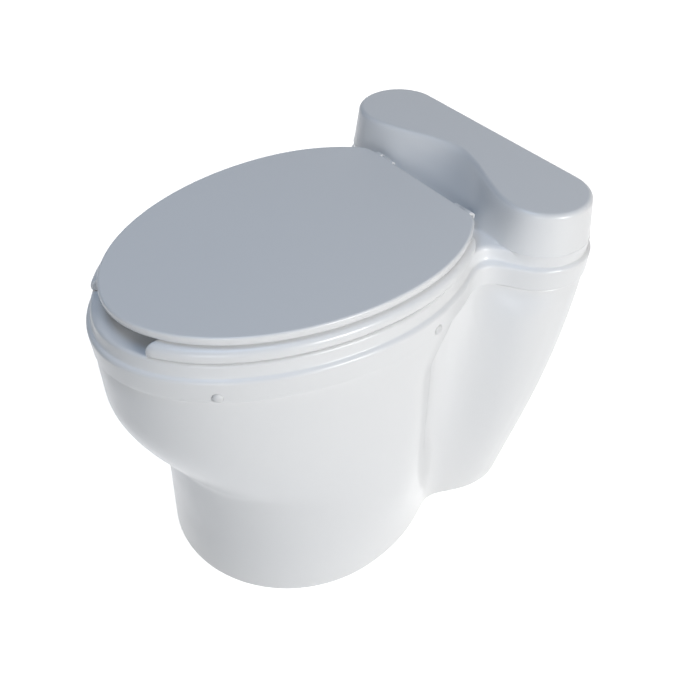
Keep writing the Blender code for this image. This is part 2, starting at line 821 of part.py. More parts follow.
# Turntable, its spindle and the glides it runs on
container_back = 0.035
container_y = bowl_y + container_back
glide_height = 0.011
glide_radius = 0.009
glide_circle = 0.095
glide_count = 4
disc_radius = 0.128
disc_thickness = 0.004
disc_rim_height = 0.012
disc_rim_width = 0.004
hub_radius = 0.018
spindle_radius = 0.008
spindle_clearance = 0.00008
spindle_flange_radius = 0.016
spindle_flange_height = 0.003
floor_top = tub_wall + seat_gap
disc_low = floor_top + glide_height + seat_gap
disc_top = disc_low + disc_thickness
spindle_top = disc_top - seat_gap
spindle_profile = [(0.0, spindle_top), (spindle_radius, spindle_top),
                   (spindle_radius, floor_top + spindle_flange_height),
                   (spindle_flange_radius, floor_top + spindle_flange_height),
                   (spindle_flange_radius, floor_top), (0.0, floor_top)]
spindle = turned("turntable_spindle", spindle_profile, 24, Matrix.Translation((0, container_y, 0)),
                 closed=False)
dress(spindle, steel)
for i in range(glide_count):
    angle = math.pi / 4 + 2 * math.pi * i / glide_count
    spot = Vector((glide_circle * math.cos(angle), container_y + glide_circle * math.sin(angle),
                   floor_top))
    glide = rod("turntable_glide_%d" % (i + 1), spot, spot + Vector((0, 0, glide_height)), glide_radius,
                sides=16)
    dress(glide, pale_rubber)
hub_low = floor_top + spindle_flange_height + seat_gap
disc_profile = [(spindle_radius + spindle_clearance, disc_top), (disc_radius - disc_rim_width, disc_top),
                (disc_radius - disc_rim_width, disc_low + disc_rim_height),
                (disc_radius, disc_low + disc_rim_height), (disc_radius, disc_low), (hub_radius, disc_low),
                (hub_radius, hub_low), (spindle_radius + spindle_clearance, hub_low)]
turntable = turned("turntable", disc_profile, 28, Matrix.Translation((0, container_y, 0)))
dress(on_axis(turntable, (0, container_y, disc_low)), grey_plastic)

# Container: a tapered bucket with a rolled rim and two hand grips, standing in the turntable
container_low_radius = 0.118
container_top_radius = 0.138
container_headroom = 0.022
container_top = chute_low - container_headroom
container_wall = 0.0025
container_round = 0.008
rim_lip = 0.005
rim_lip_height = 0.008
grip_width = 0.070
grip_depth = 0.014
grip_thickness = 0.005
container_low = disc_top + seat_gap
container_profile = [(0.0, container_low), (container_low_radius - container_round, container_low),
                     (container_low_radius - container_round * 0.3, container_low + container_round * 0.3),
                     (container_low_radius, container_low + container_round),
                     (container_top_radius, container_top - rim_lip_height),
                     (container_top_radius + rim_lip, container_top - rim_lip_height),
                     (container_top_radius + rim_lip, container_top),
                     (container_top_radius - container_wall, container_top),
                     (container_low_radius - container_wall, container_low + container_round),
                     (container_low_radius - container_round, container_low + container_wall),
                     (0.0, container_low + container_wall)]
container = turned("container", list(reversed(container_profile)), 28,
                   Matrix.Translation((0, container_y, 0)), closed=False)
grips = []
for sign in (1, -1):
    near = sign * (container_top_radius + rim_lip * 0.4)
    far = sign * (container_top_radius + rim_lip + grip_depth)
    low = (min(near, far), container_y - grip_width / 2, container_top - grip_thickness)
    high = (max(near, far), container_y + grip_width / 2, container_top - grip_thickness * 0.1)
    grips.append(box("grip", low, high, cutters))
container = join(container, grips)
dress(on_axis(container, (0, container_y, disc_low)), grey_plastic)

# Drain pipe: down from a cup below the nozzle, round the container and out at the rear
pipe_radius = outlet_radius
pipe_bend = 0.050
pipe_circle = 0.158
pipe_start_angle = -50
pipe_end_angle = 50
pipe_level = outlet_height
cup_height = 0.030
cup_radius = 0.023
cup_wall = 0.002
nozzle_reach = 0.022
pipe_top = nozzle_low - nozzle_reach
pipe_y = bowl_y + nozzle_y


def rounded(points, passes):
    """The same route with its corners cut, over and over, into soft bends."""
    for _ in range(passes):
        soft = [points[0]]
        for start, end in zip(points, points[1:]):
            soft.append(start.lerp(end, 0.25))
            soft.append(start.lerp(end, 0.75))
        points = soft + [points[-1]]
    return points


pipe_sweep = []
for i in range(5):
    sweep_angle = math.radians(mix(pipe_start_angle, pipe_end_angle, i / 4))
    pipe_sweep.append(Vector((pipe_circle * math.cos(sweep_angle),
                              container_y + pipe_circle * math.sin(sweep_angle), pipe_level)))


def pipe_route():
    """Straight down, a quarter bend, round the container, and straight out through the rear wall."""
    wall = rear_wall(pipe_level, outlet_side)
    corner = Vector((0, pipe_y, pipe_level))
    down = [corner + Vector((0, 0, pipe_bend)), corner, corner + Vector((pipe_bend, 0, 0))]
    away = [Vector((outlet_side, wall - pipe_bend, pipe_level)), Vector((outlet_side, wall, pipe_level))]
    bends = rounded(down + pipe_sweep + away, 2)
    end = Vector((outlet_side, wall + outlet_stand, pipe_level))
    return [Vector((0, pipe_y, pipe_top))] + bends + [end]


def tube(name, points, radius, wall, resolution=2):
    """A hollow tube along a route, open at both ends."""
    curve = bpy.data.curves.new(name, "CURVE")
    curve.dimensions = "3D"
    curve.bevel_depth = radius
    curve.bevel_resolution = resolution
    curve.use_fill_caps = False
    spline = curve.splines.new("POLY")
    spline.points.add(len(points) - 1)
    for point, spot in zip(spline.points, points):
        point.co = (*spot, 1)
    piece = bake(place(bpy.data.objects.new(name, curve)))
    return shell(piece, wall)


urine_pipe = tube("urine_pipe", pipe_route(), pipe_radius, outlet_wall)
dress(urine_pipe, grey_plastic)
pipe_cup = turned("pipe_cup", [(cup_radius, pipe_top + cup_height), (cup_radius, pipe_top),
                               (pipe_radius + seat_gap + cup_wall, pipe_top - cup_height * 0.3),
                               (pipe_radius + seat_gap + cup_wall, pipe_top - cup_height),
                               (pipe_radius + seat_gap, pipe_top - cup_height),
                               (pipe_radius + seat_gap, pipe_top - cup_height * 0.3),
                               (cup_radius - cup_wall, pipe_top + cup_height * 0.1),
                               (cup_radius - cup_wall, pipe_top + cup_height)], 18,
                  Matrix.Translation((0, pipe_y, 0)))
dress(pipe_cup, grey_plastic)

# Vent socket with its square flange, and the axial fan screwed to it
vent_wall_y = rear_wall(vent_height)
socket_out = vent_wall_y + vent_stand
socket_in = flange_back - vent_flange_thickness
vent_socket = rod("vent_socket", (0, socket_in, vent_height), (0, socket_out, vent_height),
                  vent_bore_radius + vent_wall, sides=28)
vent_socket = join(vent_socket, [box("flange", (-vent_flange, socket_in, vent_height - vent_flange),
                                     (vent_flange, flange_back, vent_height + vent_flange), cutters)])
socket_cuts = [rod("vent_bore", (0, socket_in - cut_over, vent_height),
                   (0, socket_out + cut_over, vent_height), vent_bore_radius, cutters, 28)]
for x, z in fan_spots:
    socket_cuts.append(rod("flange_hole", (x, socket_in - cut_over, z), (x, flange_back + cut_over, z),
                           fan_screw_radius + hole_clearance, cutters, 8))
vent_socket = cut(vent_socket, socket_cuts)
dress(vent_socket, grey_plastic)

fan_depth = 0.025
fan_bore_radius = 0.042
fan_hub_radius = 0.019
fan_strut_width = 0.004
fan_strut_depth = 0.003
fan_back = socket_in - seat_gap
fan_front = fan_back - fan_depth
fan_frame = box("fan_frame", (-vent_flange, fan_front, vent_height - vent_flange),
                (vent_flange, fan_back, vent_height + vent_flange))
frame_cuts = [rod("fan_bore", (0, fan_front - cut_over, vent_height),
                  (0, fan_back + cut_over, vent_height), fan_bore_radius, cutters, 28)]
for x, z in fan_spots:
    frame_cuts.append(rod("frame_hole", (x, fan_front - cut_over, z), (x, fan_back + cut_over, z),
                          fan_screw_radius + hole_clearance, cutters, 8))
fan_frame = cut(fan_frame, frame_cuts)
struts = [rod("hub_plate", (0, fan_back - fan_strut_depth, vent_height), (0, fan_back, vent_height),
              fan_hub_radius, cutters, 24)]
for turn in (30, 150, 270):
    angle = math.radians(turn)
    along = Vector((math.cos(angle), 0, math.sin(angle)))
    middle = along * (fan_bore_radius + fan_hub_radius * 0.5) / 2
    bm = bmesh.new()
    bmesh.ops.create_cube(bm, size=1.0)
    bmesh.ops.scale(bm, vec=(fan_bore_radius + cut_over - fan_hub_radius * 0.5, fan_strut_depth * 0.9,
                             fan_strut_width), verts=bm.verts)
    spot = Vector((0, fan_back - fan_strut_depth * 0.5, vent_height)) + middle
    placed = Matrix.Translation(spot) @ Matrix.Rotation(-angle, 4, "Y")
    bmesh.ops.transform(bm, matrix=placed, verts=bm.verts)
    struts.append(from_bmesh("strut", bm, cutters))
motor_radius = 0.013
motor_depth = 0.009
shaft_depth = 0.004
motor_front = fan_front + motor_depth
struts.append(rod("motor_core", (0, motor_front, vent_height),
                  (0, fan_back - fan_strut_depth * 0.5, vent_height), motor_radius, cutters, 24))
fan_shaft_radius = 0.0015
struts.append(rod("motor_shaft", (0, fan_front + shaft_depth, vent_height),
                  (0, motor_front + cut_over, vent_height), fan_shaft_radius, cutters, 12))
fan_frame = join(fan_frame, struts)
dress(fan_frame, black_plastic)

blade_count = 7
blade_tip_clearance = 0.0012
blade_thickness = 0.0012
blade_pitch = math.radians(38)
blade_sweep = math.radians(20)
blade_chord_share = (0.72, 0.98)
blade_twist_share = 0.72
impeller_clearance = 0.0015
impeller_front = fan_front + impeller_clearance
impeller_back = fan_back - fan_strut_depth - impeller_clearance
cup_wall_thickness = 0.002
impeller_depth = impeller_back - impeller_front
impeller_profile = [(fan_shaft_radius + spindle_clearance, 0.0), (fan_hub_radius, 0.0),
                    (fan_hub_radius, impeller_depth),
                    (fan_hub_radius - cup_wall_thickness, impeller_depth),
                    (fan_hub_radius - cup_wall_thickness, cup_wall_thickness),
                    (fan_shaft_radius + spindle_clearance, cup_wall_thickness)]
lie_back = Matrix.Rotation(-math.pi / 2, 4, "X")
impeller = turned("fan_impeller", impeller_profile, 20,
                  Matrix.Translation((0, impeller_front, vent_height)) @ lie_back)
blades = []
blade_root = fan_hub_radius - cup_wall_thickness * 0.5
blade_tip = fan_bore_radius - blade_tip_clearance
for i in range(blade_count):
    bm = bmesh.new()
    spans = []
    for share in (0.0, 0.33, 0.66, 1.0):
        radius = mix(blade_root, blade_tip, share)
        chord = fan_hub_radius * mix(*blade_chord_share, share)
        pitch = mix(blade_pitch, blade_pitch * blade_twist_share, share)
        sweep = share * blade_sweep + 2 * math.pi * i / blade_count
        row = []
        for along, thick in ((-0.5, -0.5), (0.5, -0.5), (0.5, 0.5), (-0.5, 0.5)):
            tangent = along * chord * math.cos(pitch) + thick * blade_thickness * math.sin(pitch)
            deep = along * chord * math.sin(pitch) - thick * blade_thickness * math.cos(pitch)
            turn = sweep + tangent / radius
            row.append(bm.verts.new((radius * math.cos(turn), (impeller_front + impeller_back) / 2 + deep,
                                     vent_height + radius * math.sin(turn))))
        spans.append(row)
    for low, high in zip(spans, spans[1:]):
        for a in range(4):
            b = (a + 1) % 4
            bm.faces.new((low[a], low[b], high[b], high[a]))
    bm.faces.new(list(reversed(spans[0])))
    bm.faces.new(spans[-1])
    bmesh.ops.recalc_face_normals(bm, faces=bm.faces)
    blades.append(from_bmesh("blade", bm, cutters))
impeller = join(impeller, blades)
dress(on_axis(impeller, (0, impeller_front, vent_height)), black_plastic)

fan_screw_head = 0.0035
fan_screw_head_height = 0.002
for i, (x, z) in enumerate(fan_spots):
    start = fan_front - seat_gap
    reach = flange_back + fan_screw_grip - seat_gap - start
    profile = [(0.0, fan_screw_head_height), (fan_screw_head, fan_screw_head_height),
               (fan_screw_head, 0.0), (fan_screw_radius, 0.0), (fan_screw_radius, -reach), (0.0, -reach)]
    lie_forward = Matrix.Rotation(math.pi / 2, 4, "X")
    dress(turned("fan_screw_%d" % (i + 1), profile, 8, Matrix.Translation((x, start, z)) @ lie_forward,
                 closed=False), steel)

# Outlet grommet and power inlet in the rear wall
grommet_bore = outlet_radius + seat_gap
grommet_neck = outlet_radius + grommet_lip
grommet_front = rear_wall(outlet_height - grommet_neck, outlet_side) - tub_wall
grommet_back = outlet_face + seat_gap + grommet_flange
grommet_profile = [(grommet_bore, grommet_back), (grommet_radius, grommet_back),
                   (grommet_radius, outlet_face + seat_gap), (grommet_neck, outlet_face + seat_gap),
                   (grommet_neck, grommet_front), (grommet_bore, grommet_front)]
outlet_grommet = turned("outlet_grommet", grommet_profile, 20,
                        Matrix.Translation((outlet_side, 0, outlet_height)) @ lie_back)
dress(outlet_grommet, dark_rubber)

inlet_face = inlet_pad_face + seat_gap + inlet_flange_thickness
inlet_profile = [(0, inlet_face - inlet_bore_depth), (inlet_bore_radius, inlet_face - inlet_bore_depth),
                 (inlet_bore_radius, inlet_face), (inlet_flange_radius, inlet_face),
                 (inlet_flange_radius, inlet_face - inlet_flange_thickness),
                 (inlet_radius, inlet_face - inlet_flange_thickness),
                 (inlet_radius, inlet_face - inlet_length), (0, inlet_face - inlet_length)]
power_inlet = turned("power_inlet", inlet_profile, 16,
                     Matrix.Translation((inlet_side, 0, inlet_height)) @ lie_back, closed=False)
dress(power_inlet, black_plastic)

# Lid: a flat moulded slab with a soft edge, cut straight at the back, with two ears on the hinge pins
lid_half_width = 0.1915
lid_front = 0.2805
lid_rear = 0.240
lid_power = 1.95
lid_rear_power = 2.15
lid_cut_back = 0.198
lid_round = 0.003
lid_corner = 0.010
lid_count = 48
lid_low = deck_height + seat_lift + seat_thickness + lid_lift
lid_top = lid_low + lid_thickness


def lid_gap(inset):
    def gap(x, y):
        y = y - bowl_y
        oval = oval_gap(x, y, lid_half_width, lid_front, lid_rear, 0, lid_power, lid_rear_power)
        return -blend(-oval, -(y - lid_cut_back), lid_corner) + inset
    return gap


lid_angles = even_angles(lid_gap(0.0), bowl_y, lid_count)


def lid_ring(height, inset):
    return [(x, y, height) for x, y in outline(lid_gap(inset), lid_angles, bowl_y)]


lid = loft("lid", [lid_ring(lid_low, lid_round * 0.5), lid_ring(lid_low + lid_round * 0.5, 0.0),
                   lid_ring(lid_top - lid_round, 0.0),
                   lid_ring(lid_top - lid_round * 0.3, lid_round * 0.3), lid_ring(lid_top, lid_round)])
lid_ear = post_inner + post_width + knuckle_gap
seat_ear = post_inner - knuckle_gap - ear_width
bore_radius = hinge_pin_radius + knuckle_bore_clearance
web_sink = 0.010
web_clear = 0.0035


def add_ears(slab, near, radius, web_low, web_high, web_front):
    """Give a slab a bored knuckle on each side, and the web that carries it."""
    ears = []
    bores = []
    for sign in (1, -1):
        start = Vector((sign * near, hinge_y, hinge_height))
        end = Vector((sign * (near + ear_width), hinge_y, hinge_height))
        over = Vector((sign * cut_over, 0, 0))
        ears.append(rod("knuckle", start, end, radius, cutters, 20))
        ears.append(box("web", (min(start.x, end.x), web_front, web_low),
                        (max(start.x, end.x), hinge_y, web_high), cutters))
        bores.append(rod("bore", start - over, end + over, bore_radius, cutters, 20))
    return cut(join(slab, ears), bores)


lid = add_ears(lid, lid_ear, knuckle_radius, lid_low + seat_gap, lid_top - web_clear,
               bowl_y + lid_cut_back - web_sink)
dress(on_axis(lid, (0, hinge_y, hinge_height)), gloss_white)

# Seat: an open-fronted ring, flat below, rounded above, with two ears on the hinge pins
seat_half_width = 0.199
seat_front = 0.2955
seat_rear = 0.245
seat_cut_back = 0.190
seat_corner = 0.016
seat_inner_half = 0.112
seat_inner_front = 0.190
seat_inner_back = 0.118
seat_mouth_half = 0.073
seat_mouth_inner_half = 0.080
seat_tip = 0.011
seat_tip_share = 0.55
seat_stations = 32
seat_tip_stations = 3
seat_low = deck_height + seat_lift
seat_top = seat_low + seat_thickness
seat_outer_edge = ((0.0018, 0.0), (0.0, 0.0022), (0.0009, 0.0090), (0.0050, 0.0135), (0.0150, 0.0161))
seat_inner_edge = ((0.0240, 0.0165), (0.0110, 0.0149), (0.0040, 0.0100), (0.0, 0.0035), (0.0010, 0.0))


def seat_outer_gap(x, y):
    y = y - bowl_y
    oval = oval_gap(x, y, seat_half_width, seat_front, seat_rear, 0, lid_power, lid_rear_power)
    return -blend(-oval, -(y - seat_cut_back), seat_corner)


def seat_inner_gap(x, y):
    centre = (seat_inner_back - seat_inner_front) / 2
    semi = (seat_inner_back + seat_inner_front) / 2
    return oval_gap(x, y - bowl_y, seat_inner_half, semi, semi, centre, opening_power, opening_power)


def mouth_angle(gap, half):
    """Angle from the plan's middle to where an outline passes the side of the open front."""
    low = -math.pi / 2
    high = 0.0
    for _ in range(36):
        middle = (low + high) / 2
        if outline(gap, [middle], bowl_y)[0][0] < half:
            low = middle
        else:
            high = middle
    return low


def seat_ring():
    """Sections of the seat from one end of its open front, round the back, to the other end."""
    outer_start = mouth_angle(seat_outer_gap, seat_mouth_half)
    inner_start = mouth_angle(seat_inner_gap, seat_mouth_inner_half)
    half_turn = [i / (seat_stations - 1) for i in range(seat_stations)]
    outer_angles = [mix(outer_start, math.pi - outer_start, t) for t in half_turn]
    inner_angles = [mix(inner_start, math.pi - inner_start, t) for t in half_turn]
    outer = outline(seat_outer_gap, outer_angles, bowl_y)
    inner = outline(seat_inner_gap, inner_angles, bowl_y)
    edges = [(Vector((*out, 0)), Vector((*near, 0)), 1.0) for out, near in zip(outer, inner)]
    for end, last in ((0, False), (-1, True)):
        out, near, _ = edges[end]
        forward = Vector((-1 if out.x > 0 else 1, 0, 0))
        tips = []
        for i in range(seat_tip_stations):
            turn = math.pi / 2 * (i + 1) / (seat_tip_stations + 0.3)
            shrink = 1 - math.cos(turn)
            ahead = forward * seat_tip * math.sin(turn)
            middle = (out + near) / 2
            tips.append((out.lerp(middle, shrink) + ahead, near.lerp(middle, shrink) + ahead,
                         math.cos(turn)))
        edges = edges + tips if last else list(reversed(tips)) + edges
    sections = []
    for out, near, share in edges:
        inward = (near - out).normalized()
        section = []
        lift = mix(seat_tip_share, 1, share)
        for inset, rise in seat_outer_edge:
            section.append(out + inward * inset * share + Vector((0, 0, seat_low + rise * lift)))
        for inset, rise in seat_inner_edge:
            section.append(near - inward * inset * share + Vector((0, 0, seat_low + rise * lift)))
        sections.append([tuple(point) for point in section])
    return sections


seat = loft("seat", seat_ring())
recalculated = bmesh.new()
recalculated.from_mesh(seat.data)
bmesh.ops.recalc_face_normals(recalculated, faces=recalculated.faces)
recalculated.to_mesh(seat.data)
recalculated.free()
seat = add_ears(seat, seat_ear, seat_knuckle_radius, seat_low + web_clear, seat_top - web_clear / 2,
                bowl_y + seat_cut_back - web_sink * 1.5)
dress(on_axis(seat, (0, hinge_y, hinge_height)), gloss_white)

# Buffers: seat feet on the deck and lid feet on the seat
buffer_length = 0.014
buffer_width = 0.006
buffer_thickness = seat_lift - 2 * seat_gap
lid_buffer_thickness = lid_low - seat_top - 2 * seat_gap
seat_buffer_places = ((0.152, -0.130), (0.142, 0.110))
lid_buffer_places = ((0.140, -0.170), (0.150, 0.080))


def buffers(name, places, low, thickness):
    number = 0
    for across, back in places:
        for sign in (1, -1):
            number += 1
            centre = Vector((sign * across, bowl_y + back, low + thickness / 2))
            half = Vector((buffer_width, buffer_length, thickness)) / 2
            foot = box("%s_%d" % (name, number), centre - half, centre + half)
            dress(on_axis(foot, (0, hinge_y, hinge_height)), pale_rubber)


buffers("seat_buffer", seat_buffer_places, deck_height + seat_gap, buffer_thickness)
buffers("lid_buffer", lid_buffer_places, seat_top + seat_gap, lid_buffer_thickness)

# Hinge posts on the deck, with their pins, and a bolt and washer below
for side, sign in (("left", 1), ("right", -1)):
    start = Vector((sign * post_inner, hinge_y, hinge_height))
    end = Vector((sign * (post_inner + post_width), hinge_y, hinge_height))
    over = Vector((sign * cut_over, 0, 0))
    foot = deck_height + seat_gap
    post = rod("hinge_post_" + side, start, end, post_radius, sides=20)
    post = join(post, [box("post_body", (min(start.x, end.x), hinge_y - post_radius, foot),
                           (max(start.x, end.x), hinge_y + post_radius, hinge_height), cutters)])
    bolt_top = foot + hinge_bolt_depth
    post = cut(post, [rod("pin_bore", start - over, end + over, bore_radius, cutters, 20),
                      rod("bolt_bore", (sign * post_middle, hinge_y, foot - cut_over),
                          (sign * post_middle, hinge_y, bolt_top + seat_gap), hinge_bolt_radius + seat_gap,
                          cutters, 12)])
    dress(post, satin_white)
    pin_start = Vector((sign * (seat_ear + seat_gap), hinge_y, hinge_height))
    pin_end = Vector((sign * (lid_ear + ear_width - seat_gap), hinge_y, hinge_height))
    dress(rod("hinge_pin_" + side, pin_start, pin_end, hinge_pin_radius, sides=20), steel)
    washer_top = deck_under - seat_gap
    head_top = washer_top - hinge_washer_thickness - seat_gap
    bore = hinge_bolt_radius + seat_gap
    washer = turned("hinge_washer_" + side, [(bore, washer_top), (hinge_washer_radius, washer_top),
                                             (hinge_washer_radius, washer_top - hinge_washer_thickness),
                                             (bore, washer_top - hinge_washer_thickness)], 14,
                    Matrix.Translation((sign * post_middle, hinge_y, 0)))
    dress(washer, steel)
    bolt = rod("hinge_bolt_" + side, (sign * post_middle, hinge_y, head_top - hinge_bolt_head_height),
               (sign * post_middle, hinge_y, bolt_top), hinge_bolt_radius, sides=12)
    bolt = join(bolt, [rod("bolt_head", (sign * post_middle, hinge_y, head_top - hinge_bolt_head_height),
                           (sign * post_middle, hinge_y, head_top), hinge_bolt_head_radius, cutters, 6)])
    dress(bolt, steel)

# Pipe clips: saddles on the tub's floor
clip_length = 0.012
clip_half_width = 0.021
clip_height = 0.024
for i, (start, end) in enumerate((pipe_sweep[1:3], pipe_sweep[3:5])):
    spot = (start + end) / 2
    along = (end - start).normalized()
    turn = math.atan2(-along.x, along.y)
    bm = bmesh.new()
    bmesh.ops.create_cube(bm, size=1.0)
    bmesh.ops.scale(bm, vec=(2 * clip_half_width, clip_length, clip_height), verts=bm.verts)
    placed = Matrix.Translation((spot.x, spot.y, floor_top + clip_height / 2))
    bmesh.ops.transform(bm, matrix=placed @ Matrix.Rotation(turn, 4, "Z"), verts=bm.verts)
    cradle = rod("cradle", spot - along * clip_length, spot + along * clip_length,
                 pipe_radius + 2 * seat_gap, cutters, 24)
    dress(cut(from_bmesh("pipe_clip_%d" % (i + 1), bm), [cradle]), grey_plastic)

for left in list(cutters.objects):
    bpy.data.objects.remove(left, do_unlink=True)
bpy.context.view_layer.update()
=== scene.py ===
"""Looks for a urine-diverting composting toilet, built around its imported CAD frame."""
import math

import bmesh
import bpy
import numpy as np
from mathutils import Euler, Matrix, Vector


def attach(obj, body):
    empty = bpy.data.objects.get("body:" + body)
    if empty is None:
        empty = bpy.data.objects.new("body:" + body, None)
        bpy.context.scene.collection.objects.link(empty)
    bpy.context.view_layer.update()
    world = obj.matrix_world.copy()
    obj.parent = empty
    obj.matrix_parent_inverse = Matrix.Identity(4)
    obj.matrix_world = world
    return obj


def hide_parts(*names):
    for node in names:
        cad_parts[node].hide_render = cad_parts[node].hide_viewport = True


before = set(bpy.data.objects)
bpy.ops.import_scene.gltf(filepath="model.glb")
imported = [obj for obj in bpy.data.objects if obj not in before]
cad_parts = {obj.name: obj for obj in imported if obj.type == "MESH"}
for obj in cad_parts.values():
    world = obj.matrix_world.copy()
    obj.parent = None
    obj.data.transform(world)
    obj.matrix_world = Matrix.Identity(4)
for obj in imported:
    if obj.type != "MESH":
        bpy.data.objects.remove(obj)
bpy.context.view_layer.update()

# The photograph's view: from the front left of the console, 41.5 degrees down.
# The lens and the place come from fitting the floor, the lid and the console to the picture.
camera_turn = math.radians(54.336)
camera_fall = math.radians(41.529)
camera_roll = math.radians(-0.378)
camera_distance = 1.3447
camera_aim = Vector((-0.0323, 0.0526, 0.25))
camera_focal_px = 845.24
picture_px = 680
sensor_mm = 36.0


def stand(name, data):
    """An object for a mesh, a camera or a light, put in the scene."""
    thing = bpy.data.objects.new(name, data)
    bpy.context.scene.collection.objects.link(thing)
    return thing


camera_back = Vector((math.sin(camera_turn) * math.cos(camera_fall),
                      -math.cos(camera_turn) * math.cos(camera_fall), math.sin(camera_fall)))
camera_right = Vector((math.cos(camera_turn), math.sin(camera_turn), 0))
camera_basis = Matrix((camera_right, camera_back.cross(camera_right), camera_back)).transposed()
camera = stand("camera", bpy.data.cameras.new("camera"))
camera.data.sensor_width = sensor_mm
camera.data.lens = camera_focal_px / picture_px * sensor_mm
camera.matrix_world = (Matrix.Translation(camera_aim + camera_back * camera_distance)
                       @ camera_basis.to_4x4() @ Matrix.Rotation(camera_roll, 4, "Z"))
bpy.context.scene.camera = camera


# The tub: one rotationally moulded shell of white plastic, open at the top, with a flat floor.
# A round column in front swells to a belly, runs into a neck, and ends in a wide rear housing.
# Pairs run from the foot up to the skirt; _full, _from and _rise are shares of that height.
bowl_y = -0.0285
plan_middle = bowl_y + 0.130
plan_count = 288
band_half_width, band_front, band_rear, band_power = 0.209, 0.305, 0.262, 1.94
band_neck_half, band_neck_melt, neck_inset, neck_corner = 0.140, 0.030, 0.055, 0.020
console_band_half, console_band_front, console_band_back = 0.229, 0.205, 0.362
console_band_corner, console_band_melt = 0.0785, 0.055
skirt_low, skirt_rise, skirt_inset = 0.432, 0.027, 0.001
barrel_half, barrel_full = (0.197, 0.2045), 0.6912
barrel_rear, barrel_rear_power, barrel_top_rear = (0.238, 0.135), (2.0, 2.5), 0.190
column_front, column_full, column_centre, column_power = (0.239, 0.234), 0.2304, -0.035, 2.0
belly_front, belly_from, belly_rise, belly_slope, belly_soft = 0.302, 0.478, 0.3515, 1.4, 0.03
drawn_from, drawn_rise, topped_from = 0.1382, 0.3226, 0.8065
housing_half, housing_full, housing_corner, housing_melt = (0.171, 0.2265), 0.9677, 0.070, 0.050
housing_back, housing_face = (0.300, 0.354), (0.150, 0.200)
neck_half, neck_melt = (0.147, 0.137), (0.016, 0.030)
skirt_room, skirt_melt, tub_top_inset = (0.030, 0), 0.006, 0.003
tub_wall, foot_round, floor_top = 0.0035, 0.006, 0.0038
shoulder, shoulder_top, shoulder_step = 0.428, 0.4312, 0.0004
rim_height, rim_inset, rim_round = 0.458, 0.0072, 0.0008
tub_levels, inside_levels = 72, 40
far_out, halvings, fine_steps, weld = 0.6, 40, 3001, 0.000004


def mix(low, high, share):
    return low + (high - low) * share


def ease(share):
    share = np.clip(share, 0, 1)
    return share * share * (3 - 2 * share)


def swell(share):
    return np.sin(np.clip(share, 0, 1) * math.pi / 2)


def leap(share, slope, soft):
    """A step from 0 to 1 that sets off at a slope, after a small round, and ends level."""
    share = np.clip((share + np.hypot(share, soft)) / 2, 0, 1)
    return ease(share) + slope * share * (1 - share) ** 2


def quarter(steps):
    """Even turns from nothing to a right angle."""
    return np.linspace(0, math.pi / 2, steps)


def oval(x, y, half, front, rear, centre, front_power, rear_power):
    """Near enough the signed distance from an oval whose front and rear halves differ."""
    ahead = y < centre
    semi = np.where(ahead, front, rear)
    power = np.where(ahead, front_power, rear_power)
    radius = ((np.abs(x) / half) ** power + (np.abs(y - centre) / semi) ** power) ** (1 / power)
    return np.hypot(x, y - centre) * (1 - 1 / np.maximum(radius, 1e-9))


def block(x, y, half, front, back, corner):
    """Signed distance from a block with round corners, seen from above."""
    side = np.abs(x) - (half - corner)
    end = np.abs(y - (front + back) / 2) - ((back - front) / 2 - corner)
    outside = np.hypot(np.maximum(side, 0), np.maximum(end, 0))
    return outside + np.minimum(np.maximum(side, end), 0) - corner


def soft_union(first, second, width):
    share = np.maximum(width - np.abs(first - second), 0) / width
    return np.minimum(first, second) - share * share * width / 4


def cross(inside, near, far):
    """How far out a test turns from true to false, between two reaches."""
    for _ in range(halvings):
        middle = (near + far) / 2
        held = inside(middle)
        near, far = np.where(held, middle, near), np.where(held, far, middle)
    return near


def outline(gap, angles, centre_y):
    """Where rays from a centre on the middle line cross an outline."""
    cosine, sine = np.cos(angles), np.sin(angles)
    reach = cross(lambda out: gap(out * cosine, centre_y + out * sine) < 0,
                  np.zeros_like(angles), np.full_like(angles, far_out))
    return reach * cosine, centre_y + reach * sine


def even_angles(gap, centre_y, count):
    """Angles whose rays cut the outline into even steps, mirrored left and right."""
    half = np.linspace(-math.pi / 2, math.pi / 2, fine_steps)
    x, y = outline(gap, half, centre_y)
    run = np.concatenate(([0], np.cumsum(np.hypot(np.diff(x), np.diff(y)))))
    chosen = np.interp(np.linspace(0, run[-1], count // 2 + 1), run, half)
    widest = half[np.argmax(x)]
    chosen[np.argmin(np.abs(chosen - widest))] = widest
    return np.concatenate((chosen, math.pi - chosen[-2:0:-1]))


def ring(points_xy, height):
    x, y = points_xy
    return np.column_stack((x, y, np.broadcast_to(height, x.shape)))


def skin(name, rings, capped=True):
    """A mesh through rings of equally many points, each ring anticlockwise, lowest first."""
    rings = np.asarray(rings, float)
    levels, count, _ = rings.shape
    index = np.arange(levels * count).reshape(levels, count)
    low, high = index[:-1], index[1:]
    faces = np.stack((low, np.roll(low, -1, 1), np.roll(high, -1, 1), high), -1).reshape(-1, 4).tolist()
    if capped:
        faces += [index[0][::-1].tolist(), index[-1].tolist()]
    mesh = bpy.data.meshes.new(name)
    mesh.from_pydata(rings.reshape(-1, 3).tolist(), [], faces)
    return stand(name, mesh)


def settle(piece):
    """Turn a piece and its modifiers into a plain mesh, merged, facing outwards, at the origin."""
    bpy.context.view_layer.update()
    mesh = bpy.data.meshes.new_from_object(piece.evaluated_get(bpy.context.evaluated_depsgraph_get()))
    mesh.transform(piece.matrix_world)
    work = bmesh.new()
    work.from_mesh(mesh)
    bmesh.ops.remove_doubles(work, verts=work.verts, dist=weld)
    bmesh.ops.recalc_face_normals(work, faces=work.faces)
    work.to_mesh(mesh)
    work.free()
    piece.modifiers.clear()
    piece.data = mesh
    piece.matrix_world = Matrix.Identity(4)
    return piece


